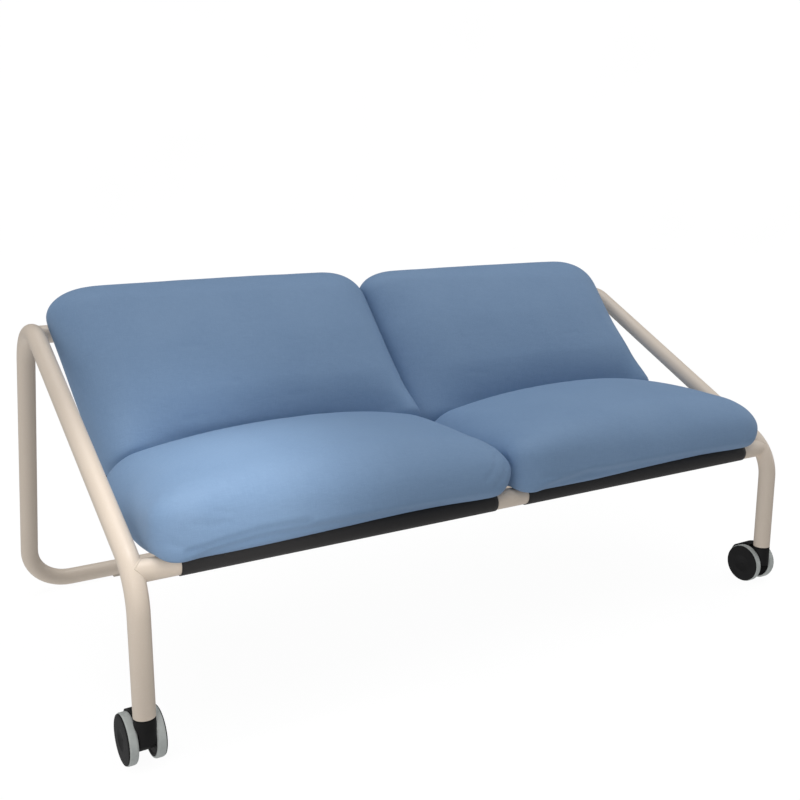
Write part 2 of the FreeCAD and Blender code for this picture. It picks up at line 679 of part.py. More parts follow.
def castor(side, x):
    base = V3(x, -OY, 0)
    out = -1 if x < 0 else 1
    at_axle = base + V3(0, AX_Y, AX_Z)

    def part_name(tail):
        return "%s_castor_%s" % (side, tail)

    # socket pressed into the leg
    n = part_name("socket")
    s = S
    bore = s["stem_r"] + s["stem_clear"]
    sk_b = revolved(n, [
        (bore, 0, "stem_r + stem_clear", "0"),
        (s["neck_r"], 0, "neck_r", "0"),
        (s["neck_r"], s["leg_end_z"] - s["socket_flange_z"], "neck_r", "leg_end_z - socket_flange_z"),
        (s["socket_r"], s["leg_end_z"] - s["socket_flange_z"], "socket_r", "leg_end_z - socket_flange_z"),
        (s["socket_r"], s["socket_top_z"] - s["socket_flange_z"] - 3, "socket_r",
         "socket_top_z - socket_flange_z - 3"),
        (s["socket_r"] - 2, s["socket_top_z"] - s["socket_flange_z"], "socket_r - 2",
         "socket_top_z - socket_flange_z"),
        (bore, s["socket_top_z"] - s["socket_flange_z"], "stem_r + stem_clear",
         "socket_top_z - socket_flange_z"),
    ], "V_Axis")
    sk_b.Placement = PLC(base + V3(0, 0, s["socket_flange_z"]), ROT(XDIR, 90))
    node(sk_b, n)

    # steel stem
    n = part_name("stem")
    st = revolved(n, [
        (0, 0, "0", "0"),
        (s["stem_r"], 0, "stem_r", "0"),
        (s["stem_r"], s["stem_top_z"] - s["stem_low_z"] - 2, "stem_r", "stem_top_z - stem_low_z - 2"),
        (s["stem_r"] - 1.5, s["stem_top_z"] - s["stem_low_z"], "stem_r - 1.5", "stem_top_z - stem_low_z"),
        (0, s["stem_top_z"] - s["stem_low_z"], "0", "stem_top_z - stem_low_z"),
    ], "V_Axis")
    st.Placement = PLC(base + V3(0, 0, s["stem_low_z"]), ROT(XDIR, 90))
    node(st, n)

    # housing: neck under the leg, barrel round the axle, cheeks for the pedal pin
    n = part_name("housing")
    hb = s["barrel_half"]
    neck = cylinder(n + "_neck", s["neck_r"], s["neck_top_z"] - s["neck_low_z"],
                    PLC(base + V3(0, 0, s["neck_low_z"]), ROT()), "neck_r", "neck_top_z - neck_low_z")
    barrel = cylinder(n + "_barrel", s["barrel_r"], 2 * hb, PLC(at_axle + V3(-hb, 0, 0), ALONG_X),
                      "barrel_r", "2 * barrel_half")
    solids = [neck, barrel]
    ct = hb - s["cheek_in_x"]
    for tag, cx in (("a", -hb), ("b", s["cheek_in_x"])):
        solids.append(box(n + "_cheek_" + tag, (ct, s["pivot_y"] + 2, s["pivot_z"] - 45),
                          ("barrel_half - cheek_in_x", "pivot_y + 2", "pivot_z - 45"),
                          PLC(base + V3(cx, 2, 45), ROT())))
        solids.append(cylinder(n + "_ear_" + tag, s["cheek_r"], ct,
                               PLC(base + V3(cx, s["pivot_y"], s["pivot_z"]), ALONG_X),
                               "cheek_r", "barrel_half - cheek_in_x"))
    body_solid = fuse(n + "_solid", solids)
    tools = []
    for tag, cx in (("a", -s["wheel_out_x"] - 4), ("b", hb)):
        tools.append(cylinder(n + "_wheelroom_" + tag, s["wheel_r"] + 1.1, s["wheel_out_x"] + 4 - hb,
                              PLC(at_axle + V3(cx, 0, 0), ALONG_X),
                              "wheel_r + 1.1", "wheel_out_x + 4 - barrel_half"))
    tools.append(cylinder(n + "_axlehole", s["axle_r"] + 0.02, 60, PLC(at_axle + V3(-30, 0, 0), ALONG_X),
                          "axle_r + 0.02", "60"))
    tools.append(cylinder(n + "_stemhole", s["stem_r"] + 0.02, 40,
                          PLC(base + V3(0, 0, s["stem_low_z"]), ROT()), "stem_r + 0.02", "40"))
    tools.append(cylinder(n + "_pinhole", s["pin_r"] + 0.02, 60,
                          PLC(base + V3(-30, s["pivot_y"], s["pivot_z"]), ALONG_X), "pin_r + 0.02", "60"))
    node(cut(n, body_solid, fuse(n + "_tools", tools)), n)

    # axle and pedal pin
    node(cylinder(part_name("axle"), s["axle_r"], 2 * s["axle_half"],
                  PLC(at_axle + V3(-s["axle_half"], 0, 0), ALONG_X), "axle_r", "2 * axle_half"),
         part_name("axle"))
    node(cylinder(part_name("pedal_pin"), s["pin_r"], 2 * hb - 0.4,
                  PLC(base + V3(-hb + 0.2, s["pivot_y"], s["pivot_z"]), ALONG_X),
                  "pin_r", "2 * barrel_half - 0.4"), part_name("pedal_pin"))

    # wheels: hub moulding with a dimpled outer face, soft tread round it
    for which, sgn in (("outer", out), ("inner", -out)):
        turn = ROT() if sgn > 0 else ROT(V3(0, 0, 1), 180)
        place = PLC(at_axle + V3(sgn * s["wheel_in_x"], 0, 0), turn)
        h = revolved(part_name(which + "_hub"), hub_points())
        h.Placement = place
        node(h, part_name(which + "_hub"))
        t = revolved(part_name(which + "_tread"), tread_points())
        t.Placement = place
        node(t, part_name(which + "_tread"))

    # brake pedal: curved plate over the wheels with a thicker tip, web and boss on the pin
    n = part_name("brake_pedal")
    pb = new_body(n)
    ri, ro, rp = s["pedal_in_r"], s["pedal_out_r"], s["paddle_out_r"]
    a0, a1, ap = s["pedal_tip_deg"], s["pedal_front_deg"], s["paddle_deg"]
    for tag, r_out, er, lo, hi in (("plate", ro, "pedal_out_r", a0, a1),
                                   ("paddle", rp, "paddle_out_r", a0, ap)):
        sk = new_sketch(pb, "YZ_Plane", n + "_" + tag + "_outline", -s["pedal_half"])
        Z = V3(0, 0, 1)
        o = V3(0, 0, 0)

        def pt(r, d):
            return V3(r * cos(d), r * sin(d), 0)
        sk.addGeometry(Part.ArcOfCircle(Part.Circle(o, Z, r_out), math.radians(lo), math.radians(hi)), False)
        sk.addGeometry(Part.LineSegment(pt(r_out, hi), pt(ri, hi)), False)
        sk.addGeometry(Part.ArcOfCircle(Part.Circle(o, Z, ri), math.radians(lo), math.radians(hi)), False)
        sk.addGeometry(Part.LineSegment(pt(ri, lo), pt(r_out, lo)), False)
        K = Sketcher.Constraint
        sk.addConstraint(K("Coincident", 0, 3, -1, 1))
        sk.addConstraint(K("Coincident", 2, 3, -1, 1))
        sk.addConstraint(K("Coincident", 0, 2, 1, 1))
        sk.addConstraint(K("Coincident", 1, 2, 2, 2))
        sk.addConstraint(K("Coincident", 2, 1, 3, 1))
        sk.addConstraint(K("Coincident", 3, 2, 0, 1))
        named(sk, K("Radius", 0, r_out), "outer", er)
        named(sk, K("Radius", 2, ri), "inner", "pedal_in_r")
        pd = pb.newObject("PartDesign::Pad", n + "_" + tag)
        pd.Profile = sk
        pd.setExpression("Length", q("2 * pedal_half"))
        doc.recompute()
    py, pz = s["pivot_y"] - AX_Y, s["pivot_z"] - AX_Z
    sk = new_sketch(pb, "YZ_Plane", n + "_web_outline", -s["boss_half"])
    sk.addGeometry(Part.LineSegment(V3(py - 3.4, pz, 0), V3(py + 5, pz, 0)), False)
    sk.addGeometry(Part.LineSegment(V3(py + 5, pz, 0), V3(py + 9, ri + 0.8, 0)), False)
    sk.addGeometry(Part.LineSegment(V3(py + 9, ri + 0.8, 0), V3(py - 2, ri + 0.8, 0)), False)
    sk.addGeometry(Part.LineSegment(V3(py - 2, ri + 0.8, 0), V3(py - 3.4, pz, 0)), False)
    for i in range(4):
        sk.addConstraint(Sketcher.Constraint("Coincident", i, 2, (i + 1) % 4, 1))
    wb = pb.newObject("PartDesign::Pad", n + "_web")
    wb.Profile = sk
    wb.setExpression("Length", q("2 * boss_half"))
    doc.recompute()
    sk = new_sketch(pb, "YZ_Plane", n + "_boss_outline", -s["boss_half"])
    g = sk.addGeometry(Part.Circle(V3(py, pz, 0), V3(0, 0, 1), s["boss_r"]), False)
    named(sk, Sketcher.Constraint("Radius", g, s["boss_r"]), "boss", "boss_r")
    bs = pb.newObject("PartDesign::Pad", n + "_boss")
    bs.Profile = sk
    bs.setExpression("Length", q("2 * boss_half"))
    doc.recompute()
    solid_volume = bs.Shape.Volume
    sk = new_sketch(pb, "YZ_Plane", n + "_bore_outline", -30.0)
    rb = s["pin_r"] + s["pin_clear"]
    g = sk.addGeometry(Part.Circle(V3(py, pz, 0), V3(0, 0, 1), rb), False)
    named(sk, Sketcher.Constraint("Radius", g, rb), "bore", "pin_r + pin_clear")
    bo = pb.newObject("PartDesign::Pocket", n + "_bore")
    bo.Profile = sk
    bo.Length = 60.0
    bo.Reversed = True
    doc.recompute()
    want = math.pi * rb * rb * 2 * s["boss_half"]
    if abs(solid_volume - bo.Shape.Volume - want) > 0.02 * want:
        raise RuntimeError("pedal bore is not cut: %g" % (solid_volume - bo.Shape.Volume))
    pb.Tip = bo
    pb.Placement = PLC(at_axle, ROT())
    node(pb, n)


castor("left", -S["track_x"])
castor("right", S["track_x"])

# ---------------------------------------------------------------- test and write

doc.recompute()
bad = []
for o in doc.Objects:
    if any(w in o.State for w in ("Invalid", "Error")):
        bad.append("%s: %s" % (o.Name, o.getStatusString()))
for label, o in NODES:
    sh = o.Shape
    if sh.isNull() or not sh.isValid() or not sh.Solids:
        bad.append("%s: shape is empty or not valid" % label)
    elif any(v.Volume <= 0 for v in sh.Solids):
        bad.append("%s: a solid has no volume" % label)
if len({n for n, _ in NODES}) != len(NODES) or len(NODES) > 60:
    bad.append("node names")
if bad:
    raise RuntimeError("; ".join(bad))

os.makedirs("parts", exist_ok=True)
whole = FreeCAD.BoundBox()
for label, o in NODES:
    whole.add(o.Shape.optimalBoundingBox(False))
    o.Shape.exportStep(os.path.join("parts", label + ".step"))
    print("%-28s %d solid(s) %12.1f mm3" % (label, len(o.Shape.Solids), o.Shape.Volume))
print("nodes", len(NODES))
print("box x %.2f %.2f  y %.2f %.2f  z %.2f %.2f" % (
    whole.XMin, whole.XMax, whole.YMin, whole.YMax, whole.ZMin, whole.ZMax))
print("front rail", FRONT_RAIL, "top rail", TOP_RAIL, "knee", KNEE)
print("webs", W1, W2, "seat at", SEAT_AT, "back at", BACK_AT)
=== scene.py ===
"""Two-place office sofa: the looks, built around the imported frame.

Metres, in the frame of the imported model: X across, -Y to the front, Z up.
Shapes are worked out in millimetres with y from the front leg axis and
then moved to the row frame by OY.
"""
import json
from math import cos, sin, tan, pi, radians, sqrt

import bpy
import numpy as np
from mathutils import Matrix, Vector, noise
from mathutils.bvhtree import BVHTree


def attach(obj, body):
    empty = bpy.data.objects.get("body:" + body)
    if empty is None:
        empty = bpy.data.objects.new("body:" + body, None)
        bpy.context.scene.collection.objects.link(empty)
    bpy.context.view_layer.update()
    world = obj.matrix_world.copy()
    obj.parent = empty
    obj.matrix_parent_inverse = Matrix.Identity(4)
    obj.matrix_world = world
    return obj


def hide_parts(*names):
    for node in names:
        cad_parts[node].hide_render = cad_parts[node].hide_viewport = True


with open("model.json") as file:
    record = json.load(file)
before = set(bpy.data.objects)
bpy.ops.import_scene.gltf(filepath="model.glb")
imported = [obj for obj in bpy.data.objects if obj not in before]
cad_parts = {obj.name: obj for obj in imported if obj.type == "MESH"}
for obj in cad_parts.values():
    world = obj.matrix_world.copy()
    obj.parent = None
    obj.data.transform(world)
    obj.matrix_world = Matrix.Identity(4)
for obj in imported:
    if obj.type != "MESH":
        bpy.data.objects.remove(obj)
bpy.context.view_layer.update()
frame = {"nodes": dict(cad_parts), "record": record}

OY = 366.915
SCENE = bpy.context.scene
TRACK = 645.25
TUBE_R = 16.0
FRONT_RAIL = (20.195, 281.166)
TOP_RAIL = (567.075, 541.014)
FRONT_BEND = (88.0, 225.07, 88.0)      # centre y, centre z, radius
TOP_BEND = (533.25, 470.73, 78.0)
KNEE = (338.171, 265.247)
SLOPE = radians(-5.9)
LEAN = radians(53.0)
D1 = np.array((cos(SLOPE), sin(SLOPE)))
N1 = np.array((-sin(SLOPE), cos(SLOPE)))
D2 = np.array((cos(LEAN), sin(LEAN)))
N2 = np.array((-sin(LEAN), cos(LEAN)))
SEAT_AT = np.array((-23.675, 304.148))
BACK_AT = np.array((361.043, 298.091))
RAIL_AT = np.array((46.0, -17.15))      # front rail in the seat's own (along, thick)
SLEEVE_R = 18.3


# ------------------------------------------------------------------ helpers
def metres(p):
    """Millimetres, y from the front leg, to metres in the row frame."""
    p = np.asarray(p, float)
    return (p - np.array((0.0, OY, 0.0))) * 0.001


def smooth(a, b, v):
    t = np.clip((np.asarray(v, float) - a) / (b - a), 0.0, 1.0)
    return t * t * (3 - 2 * t)


def mesh_object(name, points, faces, shade=True):
    me = bpy.data.meshes.new(name)
    me.from_pydata([tuple(p) for p in np.asarray(points, float)], [], [tuple(f) for f in faces])
    me.update()
    if shade:
        me.polygons.foreach_set("use_smooth", [True] * len(me.polygons))
    ob = bpy.data.objects.new(name, me)
    SCENE.collection.objects.link(ob)
    return ob


def give_uv(ob, per_loop):
    layer = ob.data.uv_layers.new(name="weave")
    layer.uv.foreach_set("vector", np.asarray(per_loop, np.float32).ravel())


def modify(ob, kind, **settings):
    m = ob.modifiers.new(kind.lower(), kind)
    for k, v in settings.items():
        setattr(m, k, v)
    return m


def put_on(ob, material):
    if not ob.material_slots:
        ob.data.materials.append(material)
    for slot in ob.material_slots:
        slot.material = material


# ---------------------------------------------------------------- materials
class Shader:
    def __init__(self, name):
        self.mat = bpy.data.materials.new(name)
        self.mat.use_nodes = True
        self.tree = self.mat.node_tree
        self.tree.nodes.clear()
        self.out = self.add("ShaderNodeOutputMaterial")
        self.bsdf = self.add("ShaderNodeBsdfPrincipled")
        self.link(self.bsdf.outputs[0], self.out.inputs[0])
        self.coord = None

    def add(self, kind, **props):
        n = self.tree.nodes.new(kind)
        for k, v in props.items():
            setattr(n, k, v)
        return n

    def link(self, a, b):
        self.tree.links.new(a, b)

    def set(self, **values):
        for k, v in values.items():
            self.bsdf.inputs[k.replace("_", " ")].default_value = v

    def place(self):
        if self.coord is None:
            self.coord = self.add("ShaderNodeTexCoord").outputs["Object"]
        return self.coord

    def uv(self):
        return self.add("ShaderNodeUVMap", uv_map="weave").outputs[0]

    def scaled(self, source, scale):
        m = self.add("ShaderNodeMapping")
        m.inputs["Scale"].default_value = scale
        self.link(source, m.inputs["Vector"])
        return m.outputs[0]

    def noise(self, scale, detail=2.0, rough=0.5, source=None, distortion=0.0):
        n = self.add("ShaderNodeTexNoise")
        n.inputs["Scale"].default_value = scale
        n.inputs["Detail"].default_value = detail
        n.inputs["Roughness"].default_value = rough
        n.inputs["Distortion"].default_value = distortion
        self.link(source or self.place(), n.inputs["Vector"])
        return n.outputs["Fac"]

    def cells(self, scale, source=None, feature="F1"):
        n = self.add("ShaderNodeTexVoronoi", feature=feature)
        n.inputs["Scale"].default_value = scale
        self.link(source or self.place(), n.inputs["Vector"])
        return n.outputs["Distance"]

    def ramp(self, fac, stops):
        n = self.add("ShaderNodeValToRGB")
        while len(n.color_ramp.elements) < len(stops):
            n.color_ramp.elements.new(0.5)
        for e, (p, c) in zip(n.color_ramp.elements, stops):
            e.position = p
            e.color = (*c, 1.0)
        self.link(fac, n.inputs[0])
        return n.outputs[0]

    def span(self, fac, low, high, a=0.0, b=1.0):
        n = self.add("ShaderNodeMapRange")
        n.inputs["From Min"].default_value = a
        n.inputs["From Max"].default_value = b
        n.inputs["To Min"].default_value = low
        n.inputs["To Max"].default_value = high
        self.link(fac, n.inputs["Value"])
        return n.outputs[0]

    def math(self, op, a, b=None):
        n = self.add("ShaderNodeMath", operation=op)
        for i, v in enumerate((a, b)):
            if v is None:
                continue
            if isinstance(v, (int, float)):
                n.inputs[i].default_value = v
            else:
                self.link(v, n.inputs[i])
        return n.outputs[0]

    def mix(self, fac, a, b, blend="MIX"):
        n = self.add("ShaderNodeMix", data_type="RGBA", blend_type=blend)
        for i, v in ((0, fac), (6, a), (7, b)):
            if isinstance(v, tuple):
                n.inputs[i].default_value = (*v, 1.0)
            elif isinstance(v, (int, float)):
                n.inputs[i].default_value = v
            else:
                self.link(v, n.inputs[i])
        return n.outputs[2]

    def bump(self, height, distance, strength=1.0, under=None):
        n = self.add("ShaderNodeBump")
        n.inputs["Distance"].default_value = distance
        n.inputs["Strength"].default_value = strength
        self.link(height, n.inputs["Height"])
        if under is not None:
            self.link(under, n.inputs["Normal"])
        return n.outputs[0]

    def colour(self, socket):
        self.link(socket, self.bsdf.inputs["Base Color"])

    def rough(self, socket):
        self.link(socket, self.bsdf.inputs["Roughness"])

    def normal(self, socket):
        self.link(socket, self.bsdf.inputs["Normal"])


def weave_group():
    """Plain weave: height of the threads, and which of the two thread systems is on top."""
    g = bpy.data.node_groups.new("plain_weave", "ShaderNodeTree")
    g.interface.new_socket(name="Vector", in_out="INPUT", socket_type="NodeSocketVector")
    g.interface.new_socket(name="Height", in_out="OUTPUT", socket_type="NodeSocketFloat")
    g.interface.new_socket(name="Side", in_out="OUTPUT", socket_type="NodeSocketFloat")
    gi = g.nodes.new("NodeGroupInput")
    go = g.nodes.new("NodeGroupOutput")

    def math(op, a, b=None):
        n = g.nodes.new("ShaderNodeMath")
        n.operation = op
        for i, v in enumerate((a, b)):
            if v is None:
                continue
            if isinstance(v, (int, float)):
                n.inputs[i].default_value = v
            else:
                g.links.new(v, n.inputs[i])
        return n.outputs[0]

    sep = g.nodes.new("ShaderNodeSeparateXYZ")
    g.links.new(gi.outputs[0], sep.inputs[0])
    u, v = sep.outputs[0], sep.outputs[1]
    su = math("SINE", math("MULTIPLY", math("FRACT", u), pi))
    sv = math("SINE", math("MULTIPLY", math("FRACT", v), pi))
    parity = math("FLOORED_MODULO", math("ADD", math("FLOOR", u), math("FLOOR", v)), 2.0)
    warp = math("MULTIPLY", math("SQRT", su), math("MULTIPLY_ADD", sv, 0.45))
    warp.node.inputs[2].default_value = 0.0
    weft = math("MULTIPLY", math("SQRT", sv), math("MULTIPLY_ADD", su, 0.45))
    weft.node.inputs[2].default_value = 0.0
    for out in (warp, weft):
        out.node.inputs[1].links[0].from_node.inputs[2].default_value = 0.55
    one = math("MULTIPLY", warp, math("SUBTRACT", 1.0, parity))
    two = math("MULTIPLY", weft, parity)
    g.links.new(math("ADD", one, two), go.inputs[0])
    g.links.new(parity, go.inputs[1])
    return g


WEAVE = weave_group()


def weave(sh, pitch):
    n = sh.add("ShaderNodeGroup")
    n.node_tree = WEAVE
    sh.link(sh.scaled(sh.uv(), (1 / pitch, 1 / pitch, 1.0)), n.inputs[0])
    return n.outputs["Height"], n.outputs["Side"]


def coat_material():
    sh = Shader("frame_coat")
    sh.set(Specular_IOR_Level=0.45, Coat_Weight=0.12, Coat_Roughness=0.3)
    tone = sh.noise(9.0, 4.0, 0.55)
    fleck = sh.noise(420.0, 2.0)
    base = sh.ramp(tone, [(0.3, (0.748, 0.643, 0.537)), (0.7, (0.778, 0.673, 0.566))])
    sh.colour(sh.mix(sh.span(fleck, 0.0, 0.5, 0.52, 0.75), base, (0.79, 0.70, 0.605)))
    sh.rough(sh.span(sh.noise(35.0, 3.0), 0.36, 0.5))
    peel = sh.bump(sh.noise(520.0, 1.0), 0.00016, 0.5)
    sh.normal(sh.bump(sh.noise(1900.0, 1.0), 0.00004, 0.5, peel))
    return sh.mat


def cushion_material():
    sh = Shader("cushion_fabric")
    sh.set(Specular_IOR_Level=0.38, Sheen_Weight=0.06, Sheen_Roughness=0.45)
    sh.bsdf.inputs["Sheen Tint"].default_value = (0.62, 0.76, 0.92, 1.0)
    height, side = weave(sh, 0.0011)
    slub = sh.noise(1.0, 2.0, 0.6, sh.scaled(sh.uv(), (60.0, 900.0, 1.0)))
    slub2 = sh.noise(1.0, 2.0, 0.6, sh.scaled(sh.uv(), (900.0, 60.0, 1.0)))
    yarn = sh.math("ADD", sh.math("MULTIPLY", slub, 0.5), sh.math("MULTIPLY", slub2, 0.5))
    broad = sh.noise(11.0, 3.0)
    base = sh.ramp(broad, [(0.25, (0.184, 0.299, 0.481)), (0.75, (0.202, 0.321, 0.506))])
    base = sh.mix(sh.span(yarn, 0.0, 0.55, 0.40, 0.68), base, (0.242, 0.371, 0.566))
    base = sh.mix(sh.span(side, 0.0, 0.10), base, (0.128, 0.222, 0.380))
    sh.colour(base)
    sh.rough(sh.span(yarn, 0.58, 0.74, 0.3, 0.7))
    crumple = sh.bump(sh.noise(1.0, 3.0, 0.55, sh.scaled(sh.place(), (38.0, 95.0, 95.0))), 0.0012, 0.5)
    felt = sh.bump(sh.noise(700.0, 2.0), 0.00018, 0.6, crumple)
    sh.normal(sh.bump(height, 0.00016, 0.7, felt))
    return sh.mat


def sling_material():
    sh = Shader("sling_fabric")
    sh.set(Specular_IOR_Level=0.28, Sheen_Weight=0.08, Sheen_Roughness=0.5)
    height, side = weave(sh, 0.0017)
    yarn = sh.noise(1.0, 2.0, 0.6, sh.scaled(sh.uv(), (1100.0, 90.0, 1.0)))
    base = sh.ramp(yarn, [(0.3, (0.0255, 0.0243, 0.0247)), (0.7, (0.0365, 0.035, 0.0355))])
    sh.colour(sh.mix(sh.span(side, 0.0, 0.35), base, (0.0145, 0.0142, 0.015)))
    sh.rough(sh.span(yarn, 0.6, 0.76, 0.3, 0.7))
    ripple = sh.bump(sh.noise(60.0, 2.0), 0.0004, 0.3)
    sh.normal(sh.bump(height, 0.00026, 0.8, ripple))
    return sh.mat


def plastic_material():
    sh = Shader("castor_plastic")
    sh.set(Specular_IOR_Level=0.13)
    tone = sh.noise(60.0, 3.0)
    sh.colour(sh.ramp(tone, [(0.3, (0.0115, 0.0115, 0.012)), (0.72, (0.016, 0.016, 0.0168))]))
    sh.rough(sh.span(sh.noise(240.0, 3.0), 0.46, 0.62))
    spark = sh.bump(sh.noise(2600.0, 2.0), 0.00005, 0.6)
    sh.normal(sh.bump(sh.noise(150.0, 1.0), 0.00008, 0.2, spark))
    return sh.mat


def tread_material():
    sh = Shader("tread_rubber")
    sh.set(Specular_IOR_Level=0.3)
    tone = sh.noise(130.0, 4.0, 0.6)
    base = sh.ramp(tone, [(0.28, (0.49, 0.52, 0.505)), (0.7, (0.56, 0.59, 0.575))])
    dust = sh.span(sh.noise(900.0, 2.0), 0.0, 0.35, 0.56, 0.75)
    sh.colour(sh.mix(dust, base, (0.40, 0.415, 0.405)))
    sh.rough(sh.span(tone, 0.5, 0.68, 0.3, 0.7))
    sh.normal(sh.bump(sh.noise(1700.0, 2.0), 0.00006, 0.6))
    return sh.mat


def glide_material():
    sh = Shader("glide_plastic")
    sh.set(Specular_IOR_Level=0.4)
    tone = sh.noise(80.0, 3.0)
    sh.colour(sh.ramp(tone, [(0.3, (0.56, 0.50, 0.42)), (0.7, (0.62, 0.56, 0.48))]))
    sh.rough(sh.span(sh.noise(300.0, 3.0), 0.42, 0.6))
    sh.normal(sh.bump(sh.noise(1800.0, 2.0), 0.00005, 0.6))
    return sh.mat


def steel_material():
    sh = Shader("steel")
    sh.set(Metallic=1.0)
    grain = sh.noise(1.0, 3.0, 0.6, sh.scaled(sh.place(), (2200.0, 2200.0, 90.0)))
    sh.colour(sh.ramp(grain, [(0.25, (0.50, 0.50, 0.50)), (0.75, (0.66, 0.66, 0.67))]))
    sh.rough(sh.span(grain, 0.26, 0.44, 0.25, 0.75))
    sh.normal(sh.bump(grain, 0.00003, 0.5))
    return sh.mat


def strip_material():
    sh = Shader("hook_and_loop")
    sh.set(Specular_IOR_Level=0.25, Sheen_Weight=0.2, Sheen_Roughness=0.5)
    hooks = sh.cells(1150.0)
    sh.colour(sh.ramp(hooks, [(0.15, (0.020, 0.020, 0.021)), (0.6, (0.008, 0.008, 0.0085))]))
    sh.rough(sh.span(hooks, 0.62, 0.86, 0.0, 0.8))
    sh.normal(sh.bump(sh.math("SUBTRACT", 1.0, hooks), 0.0004, 0.9))
    return sh.mat


def foam_material():
    sh = Shader("foam")
    sh.set(Specular_IOR_Level=0.15)
    pores = sh.cells(780.0)
    sh.colour(sh.ramp(pores, [(0.1, (0.70, 0.66, 0.56)), (0.55, (0.86, 0.83, 0.75))]))
    sh.rough(sh.span(pores, 0.85, 0.97, 0.0, 0.8))
    sh.normal(sh.bump(pores, 0.0005, 0.8))
    return sh.mat


def thread_material(name, dark, light):
    sh = Shader(name)
    sh.set(Specular_IOR_Level=0.3, Sheen_Weight=0.1)
    twist = sh.noise(1.0, 2.0, 0.5, sh.scaled(sh.place(), (2600.0, 1500.0, 1500.0)))
    sh.colour(sh.ramp(twist, [(0.3, dark), (0.7, light)]))
    sh.rough(sh.span(twist, 0.5, 0.7, 0.3, 0.7))
    sh.normal(sh.bump(twist, 0.00008, 0.7))
    return sh.mat


def bright_material(name, level, grey):
    """Pale studio surface that glows a little, so it stays pale under a dim light."""
    sh = Shader(name)
    sh.set(Specular_IOR_Level=0.0)
    sh.bsdf.inputs["Emission Color"].default_value = (1.0, 1.0, 1.0, 1.0)
    sh.bsdf.inputs["Emission Strength"].default_value = level
    tone = sh.noise(0.8, 2.0)
    sh.colour(sh.ramp(tone, [(0.3, (grey, grey, grey)), (0.7, (grey + 0.02, grey + 0.02, grey + 0.02))]))
    sh.rough(sh.span(tone, 0.85, 0.95))
    sh.mat.cycles.emission_sampling = "NONE"
    return sh.mat


COAT = coat_material()
FABRIC = cushion_material()
SLING = sling_material()
PLASTIC = plastic_material()
TREAD = tread_material()
GLIDE = glide_material()
STEEL = steel_material()
STRIP = strip_material()
FOAM = foam_material()
BLACK_THREAD = thread_material("sling_thread", (0.012, 0.012, 0.013), (0.03, 0.03, 0.031))
BLUE_THREAD = thread_material("cover_thread", (0.13, 0.21, 0.34), (0.22, 0.33, 0.49))

BY_SLOT = {"frame_coat": COAT, "cushion_fabric": FABRIC, "foam": FOAM, "sling_fabric": SLING,
           "hook_and_loop": STRIP, "castor_plastic": PLASTIC, "tread_rubber": TREAD,
           "glide_plastic": GLIDE, "steel": STEEL}
for sub in frame["record"]["subparts"]:
    put_on(frame["nodes"][sub["node"]], BY_SLOT[sub["material_slot"]])


# ------------------------------------------------------------------- camera
def make_camera():
    data = bpy.data.cameras.new("photo_camera")
    data.lens = 45.08
    data.sensor_width = 36.0
    data.clip_start, data.clip_end = 0.05, 100.0
    cam = bpy.data.objects.new("photo_camera", data)
    cam.location = (-1.0149, -1.632115, 0.7905)
    cam.rotation_euler = (radians(90 - 11.799), 0.0, radians(-31.877))
    SCENE.collection.objects.link(cam)
    SCENE.camera = cam


make_camera()


# --------------------------------------------------------- studio and floor
def only_seen(ob):
    """Seen by the camera, and lights nothing."""
    ob.visible_diffuse = ob.visible_glossy = ob.visible_transmission = False
    ob.visible_volume_scatter = ob.visible_shadow = False


